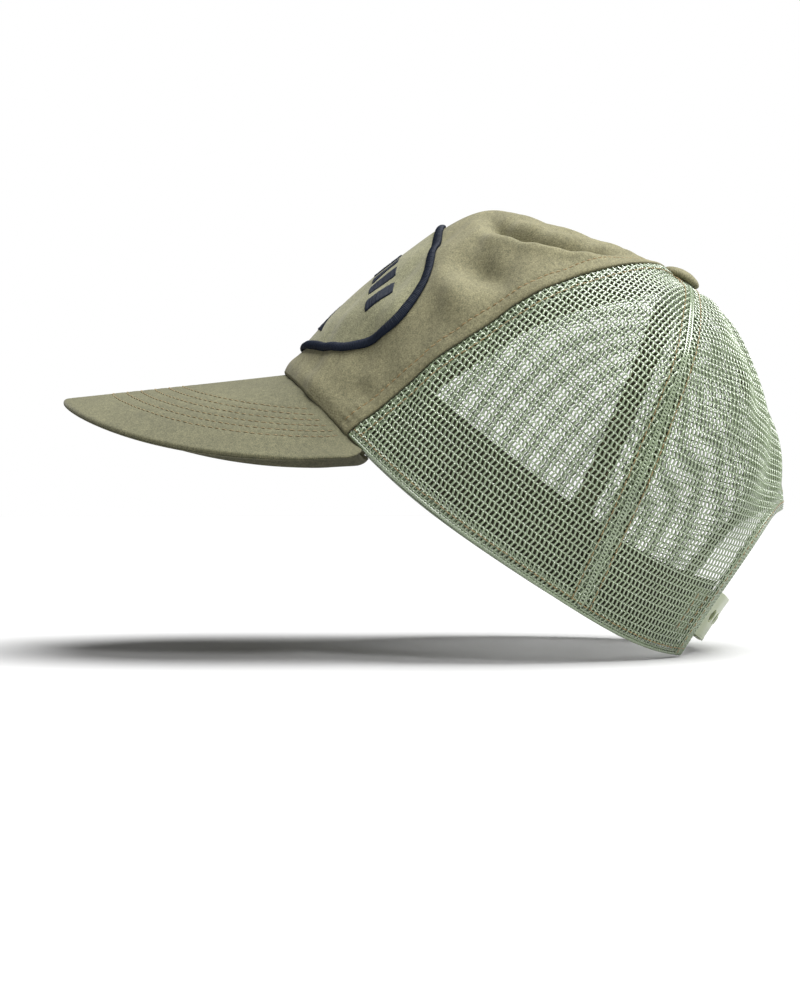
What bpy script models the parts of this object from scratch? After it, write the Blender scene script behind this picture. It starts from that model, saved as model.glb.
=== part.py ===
"""Trucker mesh cap: twill front panel, four net panels, curved brim and a snap strap.

Lengths are in millimetres and turned to metres when a mesh is made.  The crown is drawn in
its own frame: x to the wearer's left, y from the front to the back, z up the crown, with the
front centre of the bottom edge at the origin.  An empty tilts that frame to the cap's stance.
"""
import math

import bmesh
import bpy
import numpy as np
from mathutils import Vector

for item in list(bpy.data.objects):
    bpy.data.objects.remove(item, do_unlink=True)

MM = 0.001

# --- crown -----------------------------------------------------------------------------
CROWN_LENGTH = 194.0
CROWN_WIDTH = 168.0
PLAN_POWER = 2.15          # 2 is an ellipse; a little more squares its corners
APEX_AT = 107.0            # the button's distance behind the front edge
CROWN_TILT = 33.9          # degrees, front up
BRIM_DROOP = 6.8           # degrees, tip down

# Meridians of the crown at five angles round it, 0 at the front and 180 at the back: the share
# of the plan radius, and the height, at eight even steps from the bottom edge to the apex.
KEY_ANGLES = (0, 52, 90, 118, 180)
REACH_KEYS = (
    (1, .965, .89, .80, .69, .50, .25, 0),
    (1, .98, .93, .85, .74, .55, .28, 0),
    (1, 1, .985, .93, .82, .62, .33, 0),
    (1, 1, .985, .92, .80, .60, .31, 0),
    (1, .99, .955, .86, .72, .50, .25, 0),
)
HEIGHT_KEYS = (
    (0, 30, 59, 84, 98, 104, 111, 115),
    (0, 22, 49, 73, 90, 102.5, 111, 115),
    (0, 16, 43, 69, 88, 103, 112, 115),
    (0, 15, 42, 67, 87, 102, 112, 115),
    (0, 30, 58, 73, 85.5, 99.5, 113.5, 116),
)
EDGE_ANGLES = (0, 35, 60, 90, 120, 150, 180)
EDGE_HEIGHTS = (0, -2.6, -9.6, -14.2, -13.6, -6.0, 2.0)

TOP = 0.965                # panels stop here, short of the apex, and leave the button's hole
PANEL_ROWS = 15
PANEL = (0.0, 0.9)         # depth of a layer's outer and inner face below the crown surface
LINING = (1.4, 2.0)
TAB = (1.3, 2.2)
SWEATBAND = (2.8, 4.0)
SEAM_GAP = 0.25            # from a seam line to each panel beside it
TAPE_HALF = 5.0

# --- rear arch -------------------------------------------------------------------------
ARCH_HALF = 30.0           # degrees each side of the back centre
ARCH_TOP = 0.325           # as a share of the way up the crown
ARCH_SIDE_POWER = 5.0
ARCH_TOP_POWER = 2.2
MM_PER_DEGREE = 1.7        # along the bottom edge at the back
MM_PER_STEP = 200.0        # up the back, per whole share

# --- brim ------------------------------------------------------------------------------
BRIM_HALF = 83.0
BRIM_LENGTH = 95.6
BRIM_BACK = 8.6            # outline centre behind the front edge
BRIM_SQUARE = 0.835        # below 1 squares the outline
BRIM_RADIUS = 128.7        # cross-section arch
BRIM_TAIL = 104.0          # degrees round the outline to its rear end
TAIL_TUCK = 0.06
TAIL_DROP = 15.8
ROOT_END = 58.0            # degrees round the crown where the brim ends
BOARD_HALF = 0.7
COVER = (1.0, 1.6)
ROOT_SINK = 2.4            # board middle below the crown's bottom edge
OUTER_SINK = 0.8

# --- patch: (height up the front, half width) ----------------------------------------------
PATCH_OUTLINE = (
    (12, 0.5), (13.5, 20), (19.5, 43), (28, 54), (36, 59),
    (46, 60.5), (60, 54.5), (71, 42), (80, 20), (83, 0.5),
)
PATCH_FACE = (0.4, 1.2)
BORDER_HALF = 1.9

# --- strap -----------------------------------------------------------------------------
STRAP_CENTRE = 95.0        # the strap's arc centre behind the front edge
ROOT_RADIUS = 95.65        # middle of the plastic at its sewn root
STRAP_STEP = 0.8           # how far each half moves out or in to lap the other
STRAP_HALF = 0.5           # half thickness
ROOT_THIN = 0.35           # half thickness at the bending root
STRAP_LOW, STRAP_HIGH = 3.4, 22.0
HINGE_ANGLE = 25.2         # degrees from the back centre
HINGE_GAP = 0.25           # degrees each side of the bending line
SNAP_PITCH = 5.0           # degrees
HOLES, HOLE_TIP = 6, 8.2   # holes, and how many degrees that half runs past the back centre
PEGS, PEG_TIP = 7, 13.5
LAST_SNAP = 20.0           # degrees from the back centre to the snap nearest each root
PEG_RADIUS = 1.9
HOLE_RADIUS = 2.6


def material(name, colour, roughness):
    made = bpy.data.materials.new(name)
    made.use_nodes = True
    shader = made.node_tree.nodes["Principled BSDF"]
    shader.inputs["Base Color"].default_value = (*colour, 1)
    shader.inputs["Roughness"].default_value = roughness
    return made


TWILL = (0.27, 0.24, 0.15)
BRIM_TWILL = (0.22, 0.20, 0.12)
NET = (0.30, 0.37, 0.26)
TAPE = (0.20, 0.19, 0.12)
PLASTIC = (0.42, 0.47, 0.30)
NAVY = (0.012, 0.018, 0.045)
BOARD = (0.08, 0.08, 0.07)


def make_object(name, points, faces, colour, parent, roughness=0.85):
    mesh = bpy.data.meshes.new(name)
    mesh.from_pydata([tuple(p) for p in np.asarray(points) * MM], [], faces)
    body = bmesh.new()
    body.from_mesh(mesh)
    bmesh.ops.recalc_face_normals(body, faces=body.faces)
    body.to_mesh(mesh)
    body.free()
    made = bpy.data.objects.new(name, mesh)
    bpy.context.collection.objects.link(made)
    made.data.materials.append(material(name, colour, roughness))
    made.parent = parent
    return made


def make_empty(name, parent, location, turn=(0, 0, 0)):
    made = bpy.data.objects.new(name, None)
    bpy.context.collection.objects.link(made)
    made.parent = parent
    made.location = Vector(location) * MM
    made.rotation_euler = [math.radians(a) for a in turn]
    return made


def turned(points, degrees):
    """Points turned about x."""
    c, s = math.cos(math.radians(degrees)), math.sin(math.radians(degrees))
    x, y, z = np.moveaxis(np.asarray(points, float), -1, 0)
    return np.stack([x, y * c - z * s, y * s + z * c], -1)


# --- smooth curves ------------------------------------------------------------------------
def bend_matrix(count):
    """Second derivatives of the natural cubic through evenly spaced values."""
    left, right = np.eye(count), np.zeros((count, count))
    for i in range(1, count - 1):
        left[i, i - 1:i + 2] = (1, 4, 1)
        right[i, i - 1:i + 2] = (6, -12, 6)
    return np.linalg.solve(left, right)


def through(knots, share):
    """Natural cubic along the last axis of knots, at share from 0 to 1."""
    count = knots.shape[-1]
    bends = knots @ bend_matrix(count).T
    place = share * (count - 1)
    low = np.clip(np.floor(place).astype(int), 0, count - 2)
    part = place - low

    def pick(values, index):
        return np.take_along_axis(values, index[..., None], -1)[..., 0]

    rest = 1 - part
    straight = rest * pick(knots, low) + part * pick(knots, low + 1)
    return (straight + (rest ** 3 - rest) / 6 * pick(bends, low)
            + (part ** 3 - part) / 6 * pick(bends, low + 1))


def waves(degrees, count):
    return np.cos(np.multiply.outer(np.radians(degrees), np.arange(count)))


def spline(points, count):
    """An open curve through points, as count points spaced evenly by length."""
    points = np.asarray(points, float)
    share = np.linspace(0, 1, 40 * len(points))
    knots = np.broadcast_to(points.T[:, None, :], (points.shape[1], share.size, len(points)))
    return evenly(np.stack([through(k, share) for k in knots], -1), count)


def evenly(points, count):
    step = np.r_[0, np.cumsum(np.linalg.norm(np.diff(points, axis=0), axis=1))]
    wanted = np.linspace(0, step[-1], count)
    return np.stack([np.interp(wanted, step, column) for column in points.T], -1)


REACH_WAVES = np.linalg.solve(waves(KEY_ANGLES, 5), np.array(REACH_KEYS, float))
HEIGHT_WAVES = np.linalg.solve(waves(KEY_ANGLES, 5), np.array(HEIGHT_KEYS, float))
EDGE_WAVES = np.linalg.solve(waves(EDGE_ANGLES, 7), np.array(EDGE_HEIGHTS, float))


def crown(angle, share):
    """Outer surface of the crown: angle round it in degrees, share of the way to the apex."""
    angle, share = np.broadcast_arrays(np.asarray(angle, float), np.asarray(share, float))
    reach = waves(angle, 5) @ REACH_WAVES
    height = (waves(angle, 5) @ HEIGHT_WAVES).copy()
    height[..., 0] = waves(angle, 7) @ EDGE_WAVES
    reach, height = through(reach, share), through(height, share)
    c, s = np.cos(np.radians(angle)), np.sin(np.radians(angle))
    plan = (np.abs(c) ** PLAN_POWER + np.abs(s) ** PLAN_POWER) ** (-1 / PLAN_POWER)
    side = CROWN_WIDTH / 2 * plan * s
    back = CROWN_LENGTH / 2 * (1 - plan * c)
    return np.stack([side * reach, APEX_AT + (back - APEX_AT) * reach, height], -1)


def layer(angle, share, depth):
    """The crown surface moved inwards by depth."""
    angle, share = np.broadcast_arrays(np.asarray(angle, float), np.asarray(share, float))
    round_way = crown(angle + 0.5, share) - crown(angle - 0.5, share)
    up_way = crown(angle, share + 0.004) - crown(angle, share - 0.004)
    out = np.cross(round_way, up_way)
    out /= np.linalg.norm(out, axis=-1, keepdims=True)
    return crown(angle, share) - out * np.asarray(depth)[..., None]


def degrees_for(length, angle, share):
    """The angle that covers a length round the crown."""
    step = crown(angle + 0.5, share) - crown(angle - 0.5, share)
    return length / np.linalg.norm(step, axis=-1)


def front_seam(share):
    return 51.5 + 33 * share


def side_seam(share):
    return 101 + 13.7 * (1 - share) ** 1.6


def arch(widen, count):
    """One side of the rear arch, bottom to top, as (angle, share); widen is in mm."""
    turn = np.linspace(0, math.pi / 2, 200)
    half = ARCH_HALF + widen / MM_PER_DEGREE
    top = ARCH_TOP + widen / MM_PER_STEP
    path = np.stack([180 - half * np.cos(turn) ** (2 / ARCH_TOP_POWER),
                     top * np.sin(turn) ** (2 / ARCH_SIDE_POWER)], -1)
    solid = crown(path[:, 0], path[:, 1])
    step = np.r_[0, np.cumsum(np.linalg.norm(np.diff(solid, axis=0), axis=1))]
    wanted = np.linspace(0, step[-1], count)
    return np.stack([np.interp(wanted, step, column) for column in path.T], -1)


# --- solids ---------------------------------------------------------------------------------
def slab(name, outer, inner, colour, parent, ring=False, roughness=0.85):
    """Solid between two equal grids of points; a ring joins its last column to its first."""
    rows, columns = outer.shape[:2]
    points = np.concatenate([outer.reshape(-1, 3), inner.reshape(-1, 3)])

    def at(side, row, column):
        return (side * rows + row) * columns + column % columns

    faces = []
    for c in range(columns if ring else columns - 1):
        for r in range(rows - 1):
            faces.append([at(0, r, c), at(0, r, c + 1), at(0, r + 1, c + 1), at(0, r + 1, c)])
            faces.append([at(1, r, c), at(1, r + 1, c), at(1, r + 1, c + 1), at(1, r, c + 1)])
        faces.append([at(0, 0, c + 1), at(0, 0, c), at(1, 0, c), at(1, 0, c + 1)])
        last = rows - 1
        faces.append([at(0, last, c), at(0, last, c + 1), at(1, last, c + 1), at(1, last, c)])
    if not ring:
        for r in range(rows - 1):
            faces.append([at(0, r, 0), at(0, r + 1, 0), at(1, r + 1, 0), at(1, r, 0)])
            end = columns - 1
            faces.append([at(0, r + 1, end), at(0, r, end), at(1, r, end), at(1, r + 1, end)])
    return make_object(name, points, faces, colour, parent, roughness)


def mirrored(grid):
    return (grid * (-1, 1, 1))[:, ::-1]


def both_sides(name, outer, inner, colour, parent):
    slab(name + "_left", outer, inner, colour, parent)
    slab(name + "_right", mirrored(outer), mirrored(inner), colour, parent)


def lathe(name, profile, colour, parent, segments=28):
    """Solid of revolution about z from (radius, height) points; both ends are on the axis."""
    points = [(0, 0, profile[0][1])]
    for radius, height in profile[1:-1]:
        for k in range(segments):
            turn = 2 * math.pi * k / segments
            points.append((radius * math.cos(turn), radius * math.sin(turn), height))
    points.append((0, 0, profile[-1][1]))
    rings = len(profile) - 2
    end = len(points) - 1
    faces = []
    for k in range(segments):
        after = (k + 1) % segments
        faces.append([0, 1 + k, 1 + after])
        for ring in range(rings - 1):
            low, high = 1 + ring * segments, 1 + (ring + 1) * segments
            faces.append([low + k, low + after, high + after, high + k])
        top = 1 + (rings - 1) * segments
        faces.append([end, top + k, top + after])
    return make_object(name, points, faces, colour, parent)


def cut(target, tool, operation):
    tool.hide_render = True
    tool.display_type = "WIRE"
    made = target.modifiers.new(operation.title(), "BOOLEAN")
    made.operation = operation
    made.solver = "EXACT"
    made.object = tool


# --- frames -----------------------------------------------------------------------------
opening_centre = turned((0, CROWN_LENGTH / 2, 0), -CROWN_TILT)
crown_frame = make_empty("crown_frame", None, -opening_centre, (-CROWN_TILT, 0, 0))
brim_frame = make_empty("brim_frame", crown_frame, (0, 0, 0), (CROWN_TILT + BRIM_DROOP, 0, 0))

# --- crown panels -----------------------------------------------------------------------
rows = np.linspace(0, TOP, PANEL_ROWS)[:, None]


def panel_grid(first, last, columns, depth, low=0.0, high=TOP):
    """Grid between two seam functions, first and last giving degrees at a share."""
    up = np.clip(rows, low, high)
    across = np.linspace(0, 1, columns)[None, :]
    start, end = first(up), last(up)
    return layer(start + (end - start) * across, up, depth)


def beside(seam, length):
    """A line a length in mm away from a seam."""
    def line(share):
        return seam(share) + degrees_for(length, seam(share), share)
    return line


def minus(line):
    return lambda share: -line(share)


front_edge = beside(front_seam, -SEAM_GAP)
slab("front_panel", *[panel_grid(minus(front_edge), front_edge, 21, d) for d in PANEL],
     TWILL, crown_frame)
lining_edge = beside(front_seam, -TAPE_HALF - 1.5)
slab("front_lining",
     *[panel_grid(minus(lining_edge), lining_edge, 21, d, 0.012, 0.9) for d in LINING],
     TAPE, crown_frame)

side_lines = beside(front_seam, SEAM_GAP), beside(side_seam, -SEAM_GAP)
both_sides("side_mesh", *[panel_grid(*side_lines, 10, d) for d in PANEL], NET, crown_frame)


def centre_back(share):
    return 180 + 0 * share


def back_grid(depth, columns=15):
    """Fan of columns from the bottom edge and the arch up to the apex."""
    first, last = beside(side_seam, SEAM_GAP), beside(centre_back, -SEAM_GAP)
    edge = np.stack([np.linspace(first(np.zeros(1))[0], 180 - ARCH_HALF, 40), np.zeros(40)], -1)
    path = np.concatenate([edge[:-1], arch(0, 80)])
    solid = crown(path[:, 0], path[:, 1])
    step = np.r_[0, np.cumsum(np.linalg.norm(np.diff(solid, axis=0), axis=1))]
    corner = step[len(edge) - 1] / step[-1]
    on_edge = round(corner * (columns - 1))
    wanted = np.r_[np.linspace(0, corner, on_edge + 1),
                   np.linspace(corner, 1, columns - on_edge)[1:]] * step[-1]
    angle = np.interp(wanted, step, path[:, 0])
    low = np.interp(wanted, step, path[:, 1])
    part = (angle - first(low)) / (last(low) - first(low))
    part = np.clip(part, 0, 1)
    part[-1] = 1
    climb = np.linspace(0, 1, PANEL_ROWS)[:, None]
    share = low + (TOP - low) * climb
    fan = part + (np.linspace(0, 1, columns) - part) * climb
    return layer(first(share) + (last(share) - first(share)) * fan, share, depth)


both_sides("back_mesh", *[back_grid(d) for d in PANEL], NET, crown_frame)

# --- seam tapes, sweatband, arch binding ----------------------------------------------------


def tape_grids(seam, low, high, columns=4):
    lines = beside(seam, -TAPE_HALF), beside(seam, TAPE_HALF)
    return [panel_grid(*lines, columns, d, low, high) for d in LINING]


both_sides("front_seam_tape", *tape_grids(front_seam, 0.03, 0.9), TAPE, crown_frame)
both_sides("side_seam_tape", *tape_grids(side_seam, 0.03, 0.83), TAPE, crown_frame)
back_rows = np.linspace(ARCH_TOP + 0.035, 0.9, 10)[:, None]
back_half = degrees_for(TAPE_HALF, 180.0, back_rows)
back_angles = 180 + back_half * np.linspace(-1, 1, 4)[None, :]
slab("back_seam_tape", *[layer(back_angles, back_rows, d) for d in LINING], TAPE, crown_frame)

band_angles = np.linspace(-148.3, 148.3, 55)[None, :]
band_rows = np.array([0.008, 0.069, 0.138, 0.150])[:, None]
slab("sweatband", *[layer(band_angles, band_rows, d) for d in SWEATBAND], TAPE, crown_frame)


def binding_line(widen):
    path = arch(widen, 200)
    path = evenly(path[path[:, 1] > 0.142] * (MM_PER_DEGREE, MM_PER_STEP), 18)
    path = path / (MM_PER_DEGREE, MM_PER_STEP)
    return np.concatenate([path, (path * (-1, 1) + (360, 0))[-2::-1]])


binding = np.stack([binding_line(w) for w in (0.5, 3.0, 5.5)])
slab("arch_binding", *[layer(binding[..., 0], binding[..., 1], d) for d in LINING],
     NET, crown_frame)

# --- brim -------------------------------------------------------------------------------


def brim_lines(way):
    """Inner and outer line of the brim, in the brim's frame; way runs -1 to 1 round it."""
    root = crown(ROOT_END * way, 0 * way) - (0, 0, ROOT_SINK)
    root = turned(root, -CROWN_TILT - BRIM_DROOP)
    turn = np.radians(BRIM_TAIL) * way
    side = BRIM_HALF * np.sign(way) * np.abs(np.sin(turn)) ** BRIM_SQUARE
    side = side * (1 - TAIL_TUCK * np.abs(way) ** 8)
    cosine = np.cos(turn)
    back = BRIM_BACK - BRIM_LENGTH * np.sign(cosine) * np.abs(cosine) ** BRIM_SQUARE
    drop = BRIM_RADIUS - np.sqrt(BRIM_RADIUS ** 2 - side ** 2) + TAIL_DROP * np.abs(way) ** 6
    return root, np.stack([side, back, -drop - OUTER_SINK], -1)


def brim_layer(way, from_edge, lift):
    """Brim points: from_edge is 1 for the inner line, falling to mm short of the outer line."""
    root, outer = brim_lines(way)
    run = outer - root
    length = np.linalg.norm(run, axis=-1, keepdims=True)
    along = np.gradient(outer + root, axis=1)
    up = np.cross(along, -run)
    up /= np.linalg.norm(up, axis=-1, keepdims=True)
    part, inset = from_edge
    place = part * (length - inset) / length
    return root + run * place + up * np.asarray(lift)[..., None]


def brim_grid(stations, columns=33):
    """Rows of (share of the way out, inset at the edge, lift above the middle)."""
    turn = np.linspace(-1, 1, columns)
    way = (np.sign(turn) * np.abs(turn) ** 1.1 * 0.985)[None, :]
    return np.concatenate([brim_layer(way, (part, inset), np.full(way.shape, lift))
                           for part, inset, lift in stations])


def brim_rows(lift, end):
    return [(p, end, lift) for p in (0, 0.33, 0.67, 1)]


slab("brim_board", brim_grid(brim_rows(BOARD_HALF, 2.2)), brim_grid(brim_rows(-BOARD_HALF, 2.2)),
     BOARD, brim_frame)
for name, sign in (("brim_top_cover", 1), ("brim_under_cover", -1)):
    face = brim_rows(COVER[1] * sign, 1.2) + [(1, 0.35, 1.15 * sign), (1, 0, 0.17 * sign)]
    back = brim_rows(COVER[0] * sign, 1.8) + [(1, 1.1, 0.72 * sign), (1, 0.7, 0.17 * sign)]
    slab(name, brim_grid(face), brim_grid(back), BRIM_TWILL, brim_frame)

# --- patch ------------------------------------------------------------------------------
front_shares = np.linspace(0, 0.8, 400)
front_line = crown(0.0, front_shares)
front_run = np.r_[0, np.cumsum(np.linalg.norm(np.diff(front_line, axis=0), axis=1))]
share_table = np.linspace(0.02, 0.6, 25)
angle_table = np.linspace(0, 60, 61)
side_run = np.stack([
    np.r_[0, np.cumsum(np.linalg.norm(np.diff(crown(angle_table, s), axis=0), axis=1))]
    for s in share_table])


def on_front(side, height, lift):
    """Points on the front: side and height in mm along the cloth, lifted off it."""
    share = np.interp(height, front_run, front_shares)
    angle = np.empty(share.shape)
    for place in np.ndindex(share.shape):
        row = np.interp(share[place], share_table, np.arange(len(share_table)))
        low = min(int(row), len(share_table) - 2)
        run = side_run[low] + (side_run[low + 1] - side_run[low]) * (row - low)
        angle[place] = math.copysign(np.interp(abs(side[place]), run, angle_table), side[place])
    return layer(angle, share, -np.asarray(lift))


def inset(path, distance):
    """A (height, half width) line moved inwards."""
    step = np.gradient(path, axis=0)
    step /= np.linalg.norm(step, axis=1, keepdims=True)
    moved = path + np.stack([step[:, 1], -step[:, 0]], -1) * distance
    return np.stack([moved[:, 0], np.maximum(moved[:, 1], 0.4)], -1)


outline = spline(PATCH_OUTLINE, 23)
inner_line = inset(outline, BORDER_HALF + 0.4)
across = np.linspace(-1, 1, 13)[None, :]
sides = inner_line[:, 1:] * across
heights = inner_line[:, :1] + 0 * across
slab("patch_base", on_front(sides, heights, PATCH_FACE[1]), on_front(sides, heights, PATCH_FACE[0]),
     TWILL, crown_frame)


def loop(distance):
    line = inset(outline, distance)
    right = np.stack([line[:, 1], line[:, 0]], -1)
    left = right[::-1] * (-1, 1)
    return np.concatenate([right, left])


border = np.stack([loop(d) for d in (BORDER_HALF, BORDER_HALF / 2, -BORDER_HALF / 2, -BORDER_HALF)])
raised = np.array([1.1, 2.0, 2.0, 1.1])[:, None] + 0 * border[..., 0]
flat = np.full(raised.shape, PATCH_FACE[0])
slab("patch_border", on_front(border[..., 0], border[..., 1], raised),
     on_front(border[..., 0], border[..., 1], flat), NAVY, crown_frame, ring=True)

# A row of bars on one rail that follows the patch's upper edge, and a peaked mark below it.
BARS = 9
stations = []
for bar in range(BARS):
    middle = (bar - (BARS - 1) / 2) * 10.4
    stations += [(middle - 3.4, 1.2), (middle - 3.0, 6.5), (middle + 3.0, 6.5), (middle + 3.4, 1.2)]
stations = np.array(stations)
rail = 58.0 - stations[:, 0] ** 2 / 150.0
reach = np.stack([rail - stations[:, 1], rail + stations[:, 1]])
bar_sides = np.stack([stations[:, 0], stations[:, 0]])
slab("patch_bars", on_front(bar_sides, reach, 1.5 + PATCH_FACE[1] - 0.4),
     on_front(bar_sides, reach, PATCH_FACE[1] + 0.35), NAVY, crown_frame)
peak_rows = np.linspace(0, 1, 7)[:, None]
peak_sides = (24 - 23.4 * peak_rows) * np.linspace(-1, 1, 7)[None, :]
peak_heights = 21 + 14 * peak_rows + 0 * peak_sides
slab("patch_peak", on_front(peak_sides, peak_heights, PATCH_FACE[1] + 1.0),
     on_front(peak_sides, peak_heights, PATCH_FACE[1] + 0.35), NAVY, crown_frame)

# --- button -----------------------------------------------------------------------------
button_frame = make_empty("button_frame", crown_frame, (0, APEX_AT, 116.0), (6, 0, 0))
lathe("button_shell", [
    (0, 1.6), (2.1, 1.6), (2.1, 0.0), (7.2, 0.0), (7.75, 0.9), (7.3, 2.2), (5.9, 3.3), (3.4, 4.1),
    (0, 4.4),
], TWILL, button_frame)
lathe("button_rivet", [
    (0, -4.0), (8.5, -3.9), (9.0, -3.5), (8.6, -3.1), (1.5, -3.0), (1.5, 1.0), (0, 1.0),
], PLASTIC, button_frame)

# --- snap strap -------------------------------------------------------------------------
tab_angles = (180 - np.linspace(40, 29.3, 6))[None, :]
tab_rows = np.linspace(0.040, 0.1315, 4)[:, None]
both_sides("strap_tab", *[layer(tab_angles, tab_rows, d) for d in TAB], PLASTIC, crown_frame)


def on_arc(degrees, radius, height):
    """A point on the strap's arc, measured from the back centre towards the left."""
    turn = np.radians(degrees)
    return np.stack([radius * np.sin(turn), STRAP_CENTRE + radius * np.cos(turn),
                     height + 0 * turn], -1)


hinge = on_arc(np.array(HINGE_ANGLE), ROOT_RADIUS, STRAP_LOW)
DEGREE_RUN = ROOT_RADIUS * math.radians(1)


def strap_half(name, side, step, tip_angle, snaps, holes):
    """Half of the strap; side is 1 for the left root, step moves it out or in."""
    axis = make_empty(name + "_root", crown_frame, hinge * (side, 1, 1))
    start = HINGE_ANGLE - HINGE_GAP
    end = -tip_angle
    middle = (STRAP_LOW + STRAP_HIGH) / 2
    half = (STRAP_HIGH - STRAP_LOW) / 2
    round_end = half / DEGREE_RUN
    tip = end + round_end * (1 - np.cos(np.linspace(0, math.pi / 2, 7)))
    flat = np.linspace(start, tip[-1], 15)[:-1]
    angles = np.concatenate([flat, tip[::-1]])
    inside = np.clip((angles - end) / round_end, 0, 1)
    tall = np.maximum(half * np.sqrt(1 - (1 - inside) ** 2), 0.8)
    run = np.clip((start - angles) * DEGREE_RUN / 10, 0, 1)
    ease = run * run * (3 - 2 * run)
    radius = ROOT_RADIUS + step * ease
    thick = ROOT_THIN + (STRAP_HALF - ROOT_THIN) * ease
    grid = np.linspace(-1, 1, 3)[:, None]
    height = middle + tall * grid
    offset = hinge * (side, 1, 1)
    outer = on_arc(angles + 0 * grid, radius + thick, height) * (side, 1, 1) - offset
    inner = on_arc(angles + 0 * grid, radius - thick, height) * (side, 1, 1) - offset
    body = slab(name, outer, inner, PLASTIC, axis, roughness=0.4)
    points, faces = [], []
    size = HOLE_RADIUS if holes else PEG_RADIUS
    span = (-2.0, 2.0) if holes else (0.0, 2.3)
    segments = 14
    for k in range(snaps):
        turn = math.radians(LAST_SNAP - SNAP_PITCH * k) * side
        out = np.array([math.sin(turn), math.cos(turn), 0])
        along = np.array([math.cos(turn), -math.sin(turn), 0])
        level = ROOT_RADIUS + step
        centre = np.array([0, STRAP_CENTRE, middle]) - offset
        first = len(points)
        for reach_out in span:
            for j in range(segments):
                spin = 2 * math.pi * j / segments
                ring = along * math.cos(spin) + np.array([0, 0, math.sin(spin)])
                points.append(centre + out * (level + reach_out) + ring * size)
        faces.append([first + j for j in range(segments)])
        faces.append([first + 2 * segments - 1 - j for j in range(segments)])
        for j in range(segments):
            after = (j + 1) % segments
            faces.append([first + j, first + segments + j, first + segments + after, first + after])
    tool = make_object(name + "_tool", points, faces, PLASTIC, axis)
    cut(body, tool, "DIFFERENCE" if holes else "UNION")
    return body


strap_half("hole_strap", 1, STRAP_STEP, HOLE_TIP, HOLES, True)
strap_half("peg_strap", -1, -STRAP_STEP, PEG_TIP, PEGS, False)
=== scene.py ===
"""Looks of the trucker mesh cap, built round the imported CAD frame.

Work is in millimetres in the crown's frame: x to the wearer's left, y from front to back, z up
the crown, with the front centre of its bottom edge at the origin.  to_row() turns that into the
frame's metres.
"""

import math

import bmesh
import bpy
import numpy as np
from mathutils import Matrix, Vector


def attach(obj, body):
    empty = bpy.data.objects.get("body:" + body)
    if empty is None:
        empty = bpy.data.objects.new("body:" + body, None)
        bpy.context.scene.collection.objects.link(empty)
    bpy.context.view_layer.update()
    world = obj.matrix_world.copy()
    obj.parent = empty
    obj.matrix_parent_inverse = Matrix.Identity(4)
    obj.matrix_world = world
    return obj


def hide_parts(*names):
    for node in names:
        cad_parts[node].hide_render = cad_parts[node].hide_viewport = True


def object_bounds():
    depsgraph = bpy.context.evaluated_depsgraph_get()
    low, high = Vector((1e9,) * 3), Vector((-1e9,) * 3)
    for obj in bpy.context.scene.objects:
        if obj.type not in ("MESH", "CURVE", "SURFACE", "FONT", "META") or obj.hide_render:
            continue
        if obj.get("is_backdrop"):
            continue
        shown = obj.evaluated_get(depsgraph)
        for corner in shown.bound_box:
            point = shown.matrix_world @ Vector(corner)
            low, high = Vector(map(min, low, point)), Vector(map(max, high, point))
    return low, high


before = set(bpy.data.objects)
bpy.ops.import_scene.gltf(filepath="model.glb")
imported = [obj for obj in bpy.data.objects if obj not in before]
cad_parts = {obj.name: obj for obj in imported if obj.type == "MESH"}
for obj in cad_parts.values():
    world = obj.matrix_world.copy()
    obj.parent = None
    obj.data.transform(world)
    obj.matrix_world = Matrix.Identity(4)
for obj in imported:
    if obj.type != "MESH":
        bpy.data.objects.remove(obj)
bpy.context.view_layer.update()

MM = 0.001
SIDES = ((1, "left"), (-1, "right"))

# --- the crown, as the CAD has it
CROWN_LENGTH, CROWN_WIDTH = 194.0, 168.0
PLAN_POWER = 2.15
APEX_AT = 107.0
CROWN_TILT, BRIM_DROOP = 33.9, 6.8
KEY_ANGLES = (0, 52, 90, 118, 180)
REACH_KEYS = (
    (1, .965, .89, .80, .69, .50, .25, 0),
    (1, .98, .93, .85, .74, .55, .28, 0),
    (1, 1, .985, .93, .82, .62, .33, 0),
    (1, 1, .985, .92, .80, .60, .31, 0),
    (1, .99, .955, .86, .72, .50, .25, 0),
)
HEIGHT_KEYS = (
    (0, 30, 59, 84, 98, 104, 111, 115),
    (0, 22, 49, 73, 90, 102.5, 111, 115),
    (0, 16, 43, 69, 88, 103, 112, 115),
    (0, 15, 42, 67, 87, 102, 112, 115),
    (0, 30, 58, 73, 85.5, 99.5, 113.5, 116),
)
EDGE_ANGLES = (0, 35, 60, 90, 120, 150, 180)
EDGE_HEIGHTS = (0, -2.6, -9.6, -14.2, -13.6, -6.0, 2.0)
TOP = 0.965
ARCH_HALF, ARCH_TOP = 30.0, 0.325
ARCH_SIDE_POWER, ARCH_TOP_POWER = 5.0, 2.2
ARCH_BAND = 6.0
MM_PER_DEGREE, MM_PER_STEP = 1.7, 200.0
HEM_STEP = 208.0           # mm up the cloth at the bottom edge, per whole share


def turned(points, degrees):
    c, s = math.cos(math.radians(degrees)), math.sin(math.radians(degrees))
    x, y, z = np.moveaxis(np.asarray(points, float), -1, 0)
    return np.stack([x, y * c - z * s, y * s + z * c], -1)


def to_row(points):
    return turned(np.asarray(points, float) - (0, CROWN_LENGTH / 2, 0), -CROWN_TILT) * MM


def bend_matrix(count):
    left, right = np.eye(count), np.zeros((count, count))
    for i in range(1, count - 1):
        left[i, i - 1:i + 2] = (1, 4, 1)
        right[i, i - 1:i + 2] = (6, -12, 6)
    return np.linalg.solve(left, right)


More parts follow.
